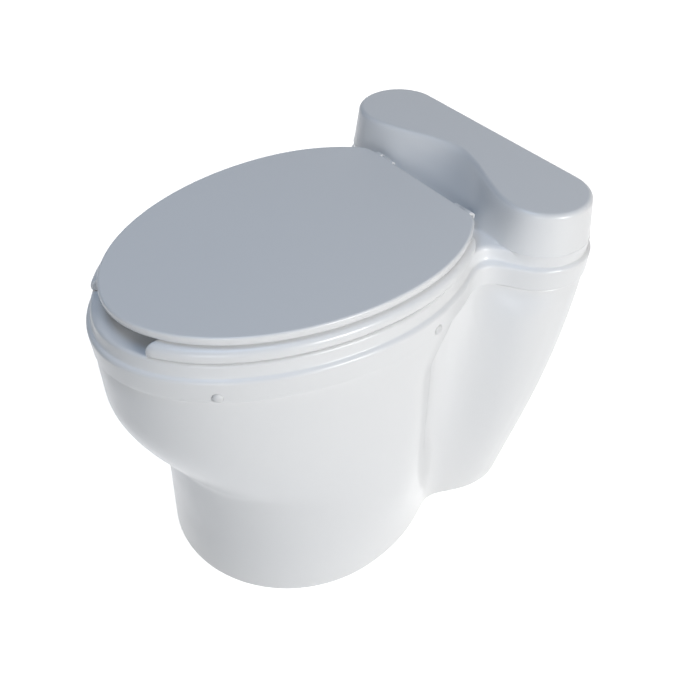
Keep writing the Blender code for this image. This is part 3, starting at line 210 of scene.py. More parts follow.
def free(name, work):
    """An object from a finished bmesh."""
    mesh = bpy.data.meshes.new(name)
    work.to_mesh(mesh)
    work.free()
    return stand(name, mesh)


def merge(name, pieces):
    """One object out of several that don't touch, for use as one cutter."""
    work = bmesh.new()
    for piece in pieces:
        piece.data.transform(piece.matrix_world)
        work.from_mesh(piece.data)
        bpy.data.objects.remove(piece, do_unlink=True)
    return free(name, work)


def carve(piece, tool, operation="DIFFERENCE"):
    """One exact Boolean, applied, with its tool removed."""
    step = piece.modifiers.new("carve", "BOOLEAN")
    step.operation = operation
    step.solver = "EXACT"
    step.object = tool
    settle(piece)
    bpy.data.objects.remove(tool, do_unlink=True)
    return piece


def rod(name, start, end, radius, sides=48):
    start, end = Vector(start), Vector(end)
    work = bmesh.new()
    bmesh.ops.create_cone(work, cap_ends=True, segments=sides, radius1=radius, radius2=radius,
                          depth=(end - start).length)
    turn = Vector((0, 0, 1)).rotation_difference(end - start).to_matrix().to_4x4()
    bmesh.ops.transform(work, matrix=Matrix.Translation((start + end) / 2) @ turn, verts=work.verts)
    return free(name, work)


def band_gap(inset):
    """The band's outline, drawn in by an inset."""
    def gap(x, y):
        y = y - bowl_y
        bowl = oval(x, y, band_half_width, band_front, band_rear, 0, band_power, band_power)
        neck = block(x, y, band_neck_half, 0, console_band_back - neck_inset, neck_corner)
        console = block(x, y, console_band_half, console_band_front, console_band_back, console_band_corner)
        return soft_union(soft_union(bowl, neck, band_neck_melt), console, console_band_melt) + inset
    return gap


def tub_gap(height, inset=0.0):
    """The tub's outline at a height."""
    share = height / skirt_low
    drawn = ease((share - drawn_from) / drawn_rise)
    topped = ease((share - topped_from) / (1 - topped_from))
    half = mix(*barrel_half, swell(share / barrel_full))
    column = mix(*column_front, min(share / column_full, 1))
    front = mix(column, belly_front, leap((share - belly_from) / belly_rise, belly_slope, belly_soft))
    centre = mix(column_centre, 0, drawn)
    rear = mix(mix(*barrel_rear, drawn), barrel_top_rear, topped)
    side = mix(*housing_half, swell(share / housing_full))
    face, back = mix(*housing_face, share), mix(*housing_back, share)
    skirt = band_gap(tub_top_inset)

    def gap(x, y):
        limit = skirt(x, y) - mix(*skirt_room, topped)
        y = y - bowl_y
        barrel = oval(x, y, half, front + centre, rear, centre, column_power, mix(*barrel_rear_power, drawn))
        neck = block(x, y, mix(*neck_half, topped), 0, back - neck_inset, neck_corner)
        housing = block(x, y, side, face, back, housing_corner)
        body = soft_union(soft_union(barrel, neck, mix(*neck_melt, topped)), housing, housing_melt)
        return -soft_union(-body, -limit, skirt_melt) + inset
    return gap


plan_angles = even_angles(band_gap(0), plan_middle, plan_count)


def plan_ring(gap, height):
    return ring(outline(gap, plan_angles, plan_middle), height)


tub_rings = [plan_ring(tub_gap(0, foot_round * (1 - math.sin(turn))), foot_round * (1 - math.cos(turn)))
             for turn in quarter(6)]
tub_rings += [plan_ring(tub_gap(height), height)
              for height in np.linspace(foot_round, shoulder, tub_levels)[1:]]
below_rim, at_rim = plan_ring(tub_gap(shoulder), shoulder), plan_ring(band_gap(rim_inset), shoulder_top)
for turn in (0.5, 1.0, math.pi / 2):
    shares = np.array((1 - math.cos(turn), 1 - math.cos(turn), math.sin(turn)))
    tub_rings.append(mix(below_rim, at_rim, shares))
tub_rings += [plan_ring(band_gap(rim_inset + inset), height)
              for inset, height in ((0, rim_height - rim_round), (rim_round, rim_height),
                                    (tub_wall - rim_round, rim_height), (tub_wall, rim_height - rim_round),
                                    (tub_wall, shoulder - shoulder_step))]
tub_rings += [plan_ring(tub_gap(height, tub_wall), height)
              for height in np.linspace(floor_top + foot_round, shoulder - tub_wall, inside_levels)[::-1]]
tub_rings += [plan_ring(tub_gap(floor_top, tub_wall + foot_round * (1 - math.cos(turn))),
                        floor_top + foot_round * (1 - math.sin(turn))) for turn in quarter(6)[1:]]
tub = settle(skin("tub_moulding", tub_rings))

vent_height, vent_flange, vent_radius = 0.386, 0.0455, 0.0408
outlet_side, outlet_height, outlet_radius, outlet_pad = 0.085, 0.030, 0.016, 0.0235
inlet_side, inlet_height, inlet_radius, inlet_pad = -0.120, 0.328, 0.008, 0.0125
pad_proud, pad_overlap, hole_reach = 0.0008, 0.0003, 0.025


def rear_wall(height, side=0.0):
    """How far back the tub's rear wall lies, straight behind a side offset."""
    gap = tub_gap(height)
    return float(cross(lambda back: gap(side, back) < 0, bowl_y + far_out / 3, bowl_y + far_out))


def corners(low_x, high_x, low_y, high_y, height):
    """A ring of four points."""
    return [(low_x, low_y, height), (high_x, low_y, height),
            (high_x, high_y, height), (low_x, high_y, height)]


def wall_pad(side, height, half, face_y):
    """A wedge from an upright face to the middle of the leaning rear wall."""
    return skin("pad", [corners(side - half, side + half,
                                *sorted((face_y, rear_wall(level, side) - tub_wall / 2)), level)
                        for level in (height - half, height + half)])


flange_back = rear_wall(vent_height - vent_flange) - tub_wall - pad_proud
outlet_face = rear_wall(outlet_height + outlet_pad, outlet_side) + pad_proud
inlet_face = rear_wall(inlet_height + inlet_pad, inlet_side) + pad_proud
carve(tub, merge("pads", [wall_pad(0, vent_height, vent_flange, flange_back + pad_overlap),
                          wall_pad(outlet_side, outlet_height, outlet_pad, outlet_face),
                          wall_pad(inlet_side, inlet_height, inlet_pad, inlet_face)]), "UNION")

screw_height, screw_forwards, probe = 0.4405, (0.219, -0.068), 0.001
slot_radius, slot_above, slot_reach = 0.0033, 0.004, (-0.020, 0.004)
skirt_line = band_gap(mix(skirt_inset, 0, (screw_height - skirt_low) / skirt_rise))
screw_places = []
for forward in screw_forwards:
    back = bowl_y - forward
    near = cross(lambda out: skirt_line(out, back) < 0, 0.0, far_out)
    across = skirt_line(near + probe, back) - skirt_line(near - probe, back)
    along = skirt_line(near, back + probe) - skirt_line(near, back - probe)
    normal = Vector((float(across), float(along), 0)).normalized()
    screw_places += [(Vector((near * sign, back, screw_height)), Vector((normal.x * sign, normal.y, 0)))
                     for sign in (1, -1)]


def rim_slot(point, normal):
    """An open-topped slot through the rim, round below, along a screw."""
    tangent = Vector((-normal.y, normal.x, 0))
    top = rim_height - screw_height + slot_above
    section = [(slot_radius, top)] + [(slot_radius * math.cos(turn), -slot_radius * math.sin(turn))
                                      for turn in np.linspace(0, math.pi, 13)] + [(-slot_radius, top)]
    return skin("slot", [[tuple(point + normal * reach + tangent * side + Vector((0, 0, rise)))
                          for side, rise in reversed(section)] for reach in slot_reach])


tub_holes = [rim_slot(*place) for place in screw_places]
for side, height, radius, room in ((0, vent_height, vent_radius, 0.0005),
                                   (outlet_side, outlet_height, outlet_radius, 0.0030),
                                   (inlet_side, inlet_height, inlet_radius, 0.0005)):
    wall_y = rear_wall(height, side)
    tub_holes.append(rod("hole", (side, wall_y - hole_reach, height), (side, wall_y + hole_reach, height),
                         radius + room, 72))
carve(tub, merge("holes", tub_holes))


class Wire:
    """A number socket that can stand in a sum."""

    def __init__(self, look, socket):
        self.look = look
        self.socket = socket

    def sum(self, operation, other):
        return self.look.node("ShaderNodeMath", {"operation": operation}, {0: self, 1: other})

    def __add__(self, other):
        return self.sum("ADD", other)

    def __mul__(self, other):
        return self.sum("MULTIPLY", other)

    def __or__(self, other):
        return self.sum("MAXIMUM", other)

    __radd__ = __add__
    __rmul__ = __mul__
    __ror__ = __or__


class Look:
    """Nodes added one by one round the shader of a material, or of a world."""

    def __init__(self, holder, shader="Principled BSDF", **constants):
        holder.use_nodes = True
        self.holder = holder
        self.tree = holder.node_tree
        self.shader = self.tree.nodes[shader]
        self.places = None
        for socket, value in constants.items():
            self.set(self.shader, socket.replace("_", " "), value)

    def set(self, node, socket, value):
        if isinstance(value, Wire):
            self.tree.links.new(value.socket, node.inputs[socket])
        elif isinstance(value, tuple) and node.inputs[socket].type == "RGBA":
            node.inputs[socket].default_value = (*value, 1)
        else:
            node.inputs[socket].default_value = value

    def node(self, kind, settings, sockets, output=0):
        made = self.tree.nodes.new(kind)
        for name, value in settings.items():
            setattr(made, name, value)
        for socket, value in sockets.items():
            self.set(made, socket, value)
        return Wire(self, made.outputs[output])

    def noise(self, scale, detail, roughness=0.5, stretch=(1, 1, 1)):
        self.places = self.places or self.node("ShaderNodeTexCoord", {}, {}, "Object")
        places = self.node("ShaderNodeMapping", {}, {"Vector": self.places, "Scale": stretch})
        return self.node("ShaderNodeTexNoise", {}, {"Vector": places, "Scale": scale, "Detail": detail,
                                                    "Roughness": roughness})

    def finish(self, colour, darker, shade, relief, strength, depth, roughness):
        """The material, with its colour, its bump and its roughness wired up."""
        tint = self.node("ShaderNodeMix", {"data_type": "RGBA"}, {0: shade, 6: darker, 7: colour}, 2)
        bump = self.node("ShaderNodeBump", {}, {"Strength": strength, "Distance": depth, "Height": relief})
        for socket, wire in (("Base Color", tint), ("Roughness", roughness), ("Normal", bump)):
            self.set(self.shader, socket, wire)
        return self.holder


def moulded(name, colour, darker, rough, peel=0.00006, peel_scale=420, gloss=0.0, spread=0.07):
    """Moulded plastic or rubber: slow colour drift, uneven gloss and a fine skin texture."""
    look = Look(bpy.data.materials.new(name), Coat_Roughness=0.12, Coat_Weight=gloss)
    drift = look.noise(scale=5.0, detail=3.0)
    mottle = look.noise(scale=60.0, detail=4.0, roughness=0.6)
    fine, waves = look.noise(scale=peel_scale, detail=3.0), look.noise(scale=peel_scale * 0.18, detail=2.0)
    return look.finish(colour, darker, shade=drift * 0.7 + mottle * 0.3, relief=fine + waves * 0.6,
                       strength=0.5, depth=peel,
                       roughness=mottle * spread + drift * spread + (rough - spread))


white_skin = moulded("white_moulded_skin", (0.87, 0.875, 0.88), (0.845, 0.85, 0.86), 0.30, gloss=0.25)


def dress(piece, material, slot, body, *nodes, place=None, crease=35):
    """Put a piece in its place, and give it its finish, body and the CAD nodes it stands for; the slot is not
    used.
    """
    if place is not None:
        piece.matrix_world = place
        settle(piece)
    piece.data.shade_smooth()
    piece.data.set_sharp_from_angle(angle=math.radians(crease))
    piece.data.materials.clear()
    piece.data.materials.append(material)
    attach(piece, body)
    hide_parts(*nodes)


dress(tub, white_skin, "housing_white", "base", "tub")


# The top moulding: skirt, stepped band, deck and rear console in one white moulding, open below.
# Its skirt hangs over the tub's rim. The console's front is scooped so that the open lid leans in it.
# Pairs run from the console's foot to its top; the band's profile gives heights and insets.
deck_height, shell_wall, console_height = 0.484, 0.003, 0.543
console_half, console_rear, lobe_front = (0.2235, 0.2165), (0.3555, 0.349), (0.214, 0.2235)
scoop_front, scoop_half, scoop_power, scoop_fade = (0.212, 0.267), 0.155, 1.5, 0.025
console_round, scoop_round, console_crown, lobe_flat = 0.0065, 0.003, 0.0010, 0.0005
console_sink, fillet_foot, deck_bite = 0.018, 0.0030, 0.00004
fillet_line, fillet_least, fillet_most = 0.0145, 0.0006, 0.0045
console_count = 288
band_profile = [(0.4320, 0.0018), (0.4322, 0.0013), (0.4327, 0.00100), (0.4400, 0.00070), (0.4500, 0.00030),
                (0.4590, 0.0), (0.4608, 0.0), (0.4622, 0.0003), (0.4634, 0.0009), (0.4644, 0.0019),
                (0.4652, 0.0031), (0.4658, 0.0045), (0.4663, 0.0056), (0.4670, 0.0063), (0.4682, 0.0068),
                (0.4740, 0.0079), (0.4795, 0.0087), (0.4812, 0.0091), (0.4825, 0.0100), (0.4834, 0.0112),
                (0.4838, 0.0125), (0.4840, 0.0140), (0.4840, 0.0165)]
hollow_profile = ((0.428, 0.0041), (0.459, 0.0036), (0.4625, 0.0066), (0.465, 0.0098), (0.475, 0.0115),
                  (0.481, 0.0140))


def bell(x, half):
    """A smooth rise to 1 on the middle line, within a half width."""
    return np.cos(math.pi / 2 * np.minimum(np.abs(x) / half, 1)) ** 2


def console_gap(height, inset=0.0):
    """The console's outline; the height may differ from point to point."""
    share = np.maximum(0, (height - deck_height) / (console_height - deck_height))
    half, back, lobe = (mix(*pair, share) for pair in (console_half, console_rear, lobe_front))
    middle = mix(*scoop_front, 1 - np.maximum(1 - share, 0) ** scoop_power)

    def gap(x, y):
        y = y - bowl_y
        body = block(x, y, half, lobe, back, (back - lobe) / 2 - lobe_flat)
        return np.maximum(body, mix(lobe, middle, bell(x, scoop_half)) - y) + inset
    return gap


console_middle = bowl_y + (console_rear[1] + lobe_front[1]) / 2
console_angles = even_angles(console_gap(console_height), console_middle, console_count)
foot_x, foot_y = outline(console_gap(deck_height), console_angles, console_middle)
fillet = np.clip(-band_gap(fillet_line)(foot_x, foot_y), fillet_least, fillet_most)
edge = console_round + scoop_round * bell(foot_x, scoop_half + scoop_fade) * (foot_y < console_middle)
wall_to = console_height - edge


def console_ring(height, inset=0.0):
    return ring(outline(console_gap(height, inset), console_angles, console_middle), height)


console_rings = [console_ring(deck_height - console_sink), console_ring(deck_height - fillet_foot)]
console_rings += [console_ring(deck_height - deck_bite + fillet * (1 - math.cos(turn)),
                               -fillet * (1 - math.sin(turn))) for turn in quarter(9)]
console_rings += [console_ring(mix(deck_height + fillet, wall_to, share))
                  for share in np.linspace(0, 1, 14)[1:]]
console_rings += [console_ring(wall_to + edge * math.sin(turn), edge * (1 - math.cos(turn)))
                  for turn in quarter(9)[1:]]
console_rings.append(console_ring(console_height, edge + console_crown))
console_inside = [console_ring(height, shell_wall)
                  for height in (deck_height - console_sink, deck_height, 0.500, 0.515, wall_to)]
console_inside.append(console_ring(console_height - shell_wall, np.maximum(edge, shell_wall)))
top = skin("top_moulding", [plan_ring(band_gap(inset), height) for height, inset in band_profile])
carve(top, skin("console", console_rings), "UNION")
inside = skin("inside", [plan_ring(band_gap(inset), height) for height, inset in hollow_profile])
carve(top, carve(inside, skin("console_inside", console_inside), "UNION"))

opening_half, opening_front, opening_back, opening_power = 0.118, 0.225, 0.125, 2.2
opening_middle = bowl_y + (opening_back - opening_front) / 2
opening_semi = (opening_front + opening_back) / 2
opening_turns = np.linspace(0, 2 * math.pi, 160, endpoint=False)
opening_low, opening_lip, opening_above = 0.472, 0.0014, 0.004
hinge_y, hinge_height, post_inner, post_width = 0.176, 0.5045, 0.080, 0.012
post_middle = post_inner + post_width / 2
bolt_hole, bolt_hole_radius = (0.470, 0.490), 0.0030
boss_turns, boss_reach, boss_radius, boss_span = (38, 142, 218, 322), 0.00728, 0.004, (0.4780, 0.4813)
spot_depth, spot_radius, clear_of_skirt = 0.0009, 0.0074, 0.004
skirt_hole_depth, skirt_hole_radius = 0.008, 0.0029


def opening_points(turns, inset):
    """Points on the opening's squarish oval, drawn in by an inset."""
    x, y = (np.sign(part) * np.abs(part) ** (2 / opening_power) for part in (np.cos(turns), np.sin(turns)))
    return x * (opening_half - inset), opening_middle + y * (opening_semi - inset)


def opening_ring(height, inset=0.0):
    return ring(opening_points(opening_turns, inset), height)


def rods(name, spans, radius, sides):
    """Like rods as one piece."""
    return merge(name, [rod(name, start, end, radius, sides) for start, end in spans])


def uprights(places, low, high):
    """Spans that stand on places from one height to another."""
    return [((x, y, low), (x, y, high)) for x, y in places]


def skirt_rods(depth, radius, sides):
    return rods("skirt", [(point - normal * depth, point + normal * clear_of_skirt)
                          for point, normal in screw_places], radius, sides)


opening_rings = [opening_ring(opening_low), opening_ring(deck_height - opening_lip)]
opening_rings += [opening_ring(deck_height - opening_lip * math.cos(turn),
                               -opening_lip * (1 - math.cos(turn)))
                  for turn in np.linspace(0.3, math.pi / 2, 5)]
opening_rings.append(opening_ring(deck_height + opening_above, -opening_lip))
bolt_places = [(sign * post_middle, hinge_y) for sign in (1, -1)]
boss_places = list(zip(*opening_points(np.radians(boss_turns), -boss_reach)))
carve(top, merge("openings", [skin("opening", opening_rings),
                              rods("bolt_holes", uprights(bolt_places, *bolt_hole), bolt_hole_radius, 48)]))
carve(top, skirt_rods(spot_depth, spot_radius, 64))
carve(top, skirt_rods(skirt_hole_depth, skirt_hole_radius, 32))
carve(top, rods("bosses", uprights(boss_places, *boss_span), boss_radius, 32), "UNION")
dress(top, white_skin, "housing_white", "top", "top_shell", crease=28)


# The four skirt screws: domed plastic-capped screws through the skirt into slots of the rim.
# Their caps sit on flats spot-faced into the skirt, and Geometry Nodes repeat them on their places.
cap_radius, cap_height, cap_sink, cap_edge = 0.0070, 0.0042, 0.0006, 0.0004


def node_rule(name, inputs, steps, links):
    """A Geometry Nodes tree from named inputs, nodes and links; it ends realized, in its material."""
    tree = bpy.data.node_groups.new(name, "GeometryNodeTree")
    for label, kind in inputs.items():
        tree.interface.new_socket(label, in_out="INPUT", socket_type="NodeSocket" + kind)
    tree.interface.new_socket("Mesh", in_out="OUTPUT", socket_type="NodeSocketGeometry")
    steps = dict(steps, given=("NodeGroupInput", {}), result=("NodeGroupOutput", {}),
                 realize=("GeometryNodeRealizeInstances", {}), finish=("GeometryNodeSetMaterial", {}))
    nodes = {}
    for step, (kind, values) in steps.items():
        nodes[step] = tree.nodes.new(kind)
        for label, value in values.items():
            if label in nodes[step].inputs:
                nodes[step].inputs[label].default_value = value
            else:
                setattr(nodes[step], label, value)
    for start, out, end, label in links + (("realize", "Geometry", "finish", "Geometry"),
                                           ("given", "Finish", "finish", "Material"),
                                           ("finish", "Geometry", "result", "Mesh")):
        tree.links.new(nodes[start].outputs[out], nodes[end].inputs[label])
    return tree


def follow(rule, name, mesh, **values):
    """A plain piece that a rule makes from a mesh and from values for its named inputs."""
    piece = stand(name, mesh)
    modifier = piece.modifiers.new("rule", "NODES")
    modifier.node_group = rule
    for item in rule.interface.items_tree:
        if item.in_out == "INPUT" and item.name in values:
            modifier[item.identifier] = values[item.name]
    return settle(piece)


repeats = node_rule(
    "repeat_on_places", {"Places": "Geometry", "Piece": "Object", "Size": "Float", "Finish": "Material"},
    {"piece": ("GeometryNodeObjectInfo", {}), "stand": ("GeometryNodeInstanceOnPoints", {}),
     "turn": ("GeometryNodeInputNamedAttribute", {"data_type": "FLOAT_VECTOR", "Name": "turn"}),
     "rotation": ("FunctionNodeEulerToRotation", {})},
    (("given", "Places", "stand", "Points"), ("given", "Piece", "piece", "Object"),
     ("piece", "Geometry", "stand", "Instance"), ("turn", "Attribute", "rotation", "Euler"),
     ("rotation", "Rotation", "stand", "Rotation"), ("given", "Size", "stand", "Scale"),
     ("stand", "Instances", "realize", "Geometry")))


def repeat(name, piece, places, material):
    """Copies of a piece as one plain mesh, each at a point, turned from +Z to a direction or by angles."""
    mesh = bpy.data.meshes.new(name)
    mesh.from_pydata([tuple(point) for point, _ in places], [], [])
    turns = mesh.attributes.new("turn", "FLOAT_VECTOR", "POINT")
    for item, (_, direction) in zip(turns.data, places):
        turned = Vector((0, 0, 1)).rotation_difference(Vector(direction)).to_euler()
        item.vector = direction if isinstance(direction, Euler) else turned
    copies = follow(repeats, name, mesh, Piece=piece, Size=1.0, Finish=material)
    bpy.data.objects.remove(piece, do_unlink=True)
    return copies


def lathe(name, profile, sides=72, thread=(0, -1, 1, 0)):
    """A turned piece about Z from radius and height pairs; a thread is low, high, pitch and depth."""
    turns = np.linspace(0, 2 * math.pi, sides, endpoint=False)
    low, high, pitch, depth = thread
    rings = []
    for radius, height in profile:
        groove = depth * (low < height < high)
        reach = radius - groove * np.abs(np.sin(math.pi * height / pitch + turns / 2))
        rings.append(ring((np.cos(turns) * reach, np.sin(turns) * reach), height))
    if profile[0][0] > 0 and profile[-1][0] > 0:
        rings.append(rings[0])
    return settle(skin(name, rings, capped=False))


def shank(radius, top, tip, pitch, plain=0.0):
    """Profile and thread of a screw's shank, from below its head down to a pointed tip."""
    run = np.arange(top - plain, tip + radius, -pitch / 6)
    profile = [(radius, top)] + [(radius, height) for height in run]
    return (profile + [(radius * 0.55, tip + radius * 0.3), (0.0, tip)],
            (tip + radius, top - plain, pitch, radius * 0.2))


cap_skin = moulded("satin_cap", (0.80, 0.805, 0.81), (0.74, 0.745, 0.75), 0.42, peel_scale=900)
cap_profile = [(0.0, cap_height)] + [(cap_radius * math.sin(turn), cap_height * math.cos(turn))
                                     for turn in np.linspace(0.12, math.pi / 2, 12)]
cap_profile += [(cap_radius, cap_edge), (cap_radius - cap_edge, 0.0)]
cap_profile = [(radius, height - cap_sink) for radius, height in cap_profile]
skirt_shank, skirt_thread = shank(radius=0.0025, top=-cap_sink, tip=-0.0200, pitch=0.0011, plain=0.003)
skirt_cap = lathe("skirt_cap", cap_profile + skirt_shank, 48, skirt_thread)
dress(repeat("skirt_screws", skirt_cap, screw_places, cap_skin), cap_skin, "cap_white", "top",
      "screw_front_left", "screw_front_right", "screw_rear_left", "screw_rear_right")


# The lid: a flat moulded oval, cut straight at the back, with a soft edge and two hinge ears.
# It lies on four small buffers, so a thin dark gap shows below it.
lid_low, lid_top, lid_round, lid_under, lid_count = 0.505, 0.516, 0.0032, 0.0018, 240
lid_shape = 0.1915, 0.2805, 0.240, 0.198, 0.010
oval_powers = 1.95, 2.15
ear_width, ear_round, knuckle_gap = 0.011, 0.0008, 0.0004
bore_radius, bore_past = 0.00311, 0.004
round_segments, round_from = 3, math.radians(50)


def cut_oval(half, front, rear, cut, melt, inset=0.0):
    """An oval round the bowl's middle, cut straight at the back with soft corners."""
    def gap(x, y):
        y = y - bowl_y
        return -soft_union(-oval(x, y, half, front, rear, 0, *oval_powers), cut - y, melt) + inset
    return gap


def box(name, size, centre):
    work = bmesh.new()
    bmesh.ops.create_cube(work, size=1)
    bmesh.ops.scale(work, vec=size, verts=work.verts)
    bmesh.ops.translate(work, vec=centre, verts=work.verts)
    return free(name, work)


def round_edges(piece, width):
    """Small rounds along a piece's sharp edges."""
    bevel = piece.modifiers.new("round", "BEVEL")
    bevel.width, bevel.segments = width, round_segments
    bevel.limit_method, bevel.angle_limit = "ANGLE", round_from
    return settle(piece)


def pin_bore(start, end):
    """A bore for the hinge pin that runs out past both ends."""
    past = (end - start).normalized() * bore_past
    return rod("bore", start - past, end + past, bore_radius)


def knuckles(slab, near, radius, web_low, web_high, web_front):
    """Round hinge ears with webs, and the pins' bores through them."""
    ears, bores = [], []
    for sign in (1, -1):
        start = Vector((sign * near, hinge_y, hinge_height))
        end = start + Vector((sign * ear_width, 0, 0))
        web = box("web", (ear_width, hinge_y - web_front, web_high - web_low),
                  ((start.x + end.x) / 2, (hinge_y + web_front) / 2, (web_low + web_high) / 2))
        ears.append(round_edges(carve(rod("ear", start, end, radius, 64), web, "UNION"), ear_round))
        bores.append(pin_bore(start, end))
    return carve(carve(slab, merge("ears", ears), "UNION"), merge("bores", bores))


lid_angles = even_angles(cut_oval(*lid_shape), bowl_y, lid_count)
lid_profile = [(lid_low, 0.0120), (lid_low, lid_under), (lid_low + 0.0005, 0.0006),
               (lid_low + lid_under, 0.0)]
lid_profile += [(lid_top - lid_round * (1 - math.sin(turn)), lid_round * (1 - math.cos(turn)))
                for turn in quarter(8)]
lid_profile += [(lid_top, lid_round + 0.0012), (lid_top, 0.030)]
lid = skin("lid_panel", [ring(outline(cut_oval(*lid_shape, inset), lid_angles, bowl_y), height)
                         for height, inset in lid_profile])
knuckles(lid, near=post_inner + post_width + knuckle_gap, radius=0.0065, web_low=lid_low + 0.0003,
         web_high=lid_top - 0.0035, web_front=bowl_y + 0.188)
dress(lid, white_skin, "housing_white", "lid", "lid", crease=32)


# The seat: a moulded ring, open in front, flat below and crowned above, on the same two pins.
# Its edges' profiles give insets and rises, and its two arms end in blunt round tips.
seat_low = 0.486
seat_outer_edge = ((0.0090, 0.0), (0.0018, 0.0), (0.0, 0.0018), (0.0006, 0.0090), (0.0040, 0.0136),
                   (0.0120, 0.0163))
seat_inner_edge = ((0.0260, 0.0167), (0.0120, 0.0155), (0.0035, 0.0105), (0.0, 0.0040), (0.0008, 0.0),
                   (0.0080, 0.0))
seat_outer = cut_oval(0.199, 0.2955, 0.245, 0.190, 0.016)
seat_inner_half, seat_inner_front, seat_inner_rear = 0.112, 0.190, 0.118
mouth_outer, mouth_inner = 0.077, 0.083
seat_stations, tip_stations, tip_length, tip_low, tip_shrink = 200, 10, 0.007, 0.82, 0.98


def seat_inner(x, y):
    semi = (seat_inner_rear + seat_inner_front) / 2
    return oval(x, y - bowl_y, seat_inner_half, semi, semi, seat_inner_rear - semi,
                opening_power, opening_power)


def seat_edge(gap, mouth_half):
    """Points round one edge of the ring, from one side of its mouth to the other."""
    turns = np.linspace(-math.pi / 2, 0, 4001)
    start = turns[np.argmax(outline(gap, turns, bowl_y)[0] > mouth_half)]
    x, y = outline(gap, mix(start, math.pi - start, np.linspace(0, 1, seat_stations)), bowl_y)
    return ring((x, y), 0)


def soften(points, passes):
    """Cut a profile's corners over and over, keeping its two ends."""
    points = [np.array(point, float) for point in points]
    for _ in range(passes):
        cut = [points[0]]
        for start, end in zip(points, points[1:]):
            cut += [start * 0.75 + end * 0.25, start * 0.25 + end * 0.75]
        points = cut + [points[-1]]
    return points


def seat_section(out, near, tall):
    """One upright section of the seat, between an outer and an inner point."""
    width = np.linalg.norm(near - out)
    inward = (near - out) / width
    flat = [(inset * tall, rise) for inset, rise in seat_outer_edge]
    flat += [(width - inset * tall, rise) for inset, rise in seat_inner_edge]
    flat = soften(flat + [flat[0]], 2)[1:-1]
    return [tuple(out + inward * inset + np.array((0, 0, seat_low + rise * mix(tip_low, 1, tall))))
            for inset, rise in flat]


stations = [(out, near, 1.0) for out, near in zip(seat_edge(seat_outer, mouth_outer),
                                                  seat_edge(seat_inner, mouth_inner))]
for at_end in (False, True):
    out, near, _ = stations[-1 if at_end else 0]
    ahead = np.array((-np.sign(out[0]) * tip_length, 0, 0))
    tips = []
    for turn in math.pi / 2 * np.arange(1, tip_stations + 1) / (tip_stations + 0.4):
        full = (1 - math.sin(turn) ** 3) ** (1 / 3)
        drawn = (1 - full) * tip_shrink
        middle, forth = (out + near) / 2, ahead * math.sin(turn)
        tips.append((mix(out, middle, drawn) + forth, mix(near, middle, drawn) + forth, full))
    stations = stations + tips if at_end else tips[::-1] + stations
seat = settle(skin("seat_ring", [seat_section(*station) for station in stations]))
knuckles(seat, near=post_inner - knuckle_gap - ear_width, radius=0.0055, web_low=seat_low + 0.0035,
         web_high=seat_low + 0.01475, web_front=bowl_y + 0.175)
dress(seat, white_skin, "housing_white", "seat", "seat", crease=40)


# The diverting bowl: one white moulding hung below the deck by a flange and four screws.
# A funnel with a drain nozzle takes the front, an open tapered chute the rear.
flange_low, flange_top, flange_width, flange_round = 0.4777, 0.4807, 0.014, 0.0006
bowl_wall, bowl_lip, bowl_levels, bowl_above, bowl_below = 0.0025, 0.0022, 30, 0.004, 0.004
divider_middle, divider_half, divider_melt = bowl_y - 0.052, 0.004, 0.012
nozzle_y, nozzle_radius, nozzle_top, nozzle_low = bowl_y - 0.165, 0.013, 0.365, 0.322
funnel_power, chute_low, chute_draft = 1.36, 0.388, 0.014
bowl_hole, bowl_hole_radius = (0.470, 0.490), 0.0043
bowl_turns = np.linspace(0, 2 * math.pi, 144, endpoint=False)


def basin(side, inset, drawn=0.0):
    """One side of the divider, -1 the front: points at even angles round its middle, and that middle."""
    edge = divider_middle + side * (divider_half + inset)
    semi = opening_semi - inset - drawn
    middle = (edge + opening_middle + side * semi) / 2

    def gap(x, y):
        whole = oval(x, y, opening_half - inset - drawn, semi, semi, opening_middle,
                     opening_power, opening_power)
        return -soft_union(-whole, side * (y - edge), divider_melt)
    return outline(gap, bowl_turns, middle), middle


def funnel_ring(height, inset):
    """Narrows from the front basin to the round nozzle."""
    (x, y), middle = basin(-1, inset)
    share = min(max((flange_low - height) / (flange_low - nozzle_top), 0), 1) ** funnel_power
    turns, reach = np.arctan2(y - middle, x), nozzle_radius - inset
    x, y = mix(x, reach * np.cos(turns), share), mix(y, nozzle_y + reach * np.sin(turns), share)
    return ring((x, y), height)


def chute_ring(height, inset):
    share = min(max((flange_top - height) / (flange_top - chute_low), 0), 1)
    return ring(basin(1, inset, chute_draft * share)[0], height)


def basin_skin(section, low, inset=0.0, lipped=False):
    """Stacked rings up to the flange; a cutter's top opens out in a small round."""
    rings = [section(height, inset) for height in np.linspace(low, flange_top - bowl_lip, bowl_levels)]
    if lipped:
        rings += [section(flange_top - bowl_lip * (1 - math.sin(turn)),
                          inset - bowl_lip * (1 - math.cos(turn))) for turn in quarter(6)[1:]]
        rings.append(section(flange_top + bowl_above, inset - bowl_lip))
    return skin("basin", rings)


bowl = skin("bowl_insert_moulding", [opening_ring(height, inset - flange_width) for height, inset in (
    (flange_low, flange_round), (flange_low + flange_round, 0.0), (flange_top - flange_round, 0.0),
    (flange_top, flange_round))])
basins = (funnel_ring, nozzle_low), (chute_ring, chute_low)
carve(bowl, carve(*(basin_skin(section, low) for section, low in basins), "UNION"), "UNION")
for section, low in basins:
    carve(bowl, basin_skin(section, low - bowl_below, bowl_wall, lipped=True))
carve(bowl, rods("holes", uprights(boss_places, *bowl_hole), bowl_hole_radius, 48))
dress(bowl, white_skin, "housing_white", "top", "bowl_insert", crease=40)


# The bowl's four screws: zinc-plated pan heads with a cross recess, driven up into the bosses.
# They are turned pieces with a cut thread, repeated on the bosses.
def four(name):
    return ["%s_%d" % (name, number) for number in (1, 2, 3, 4)]


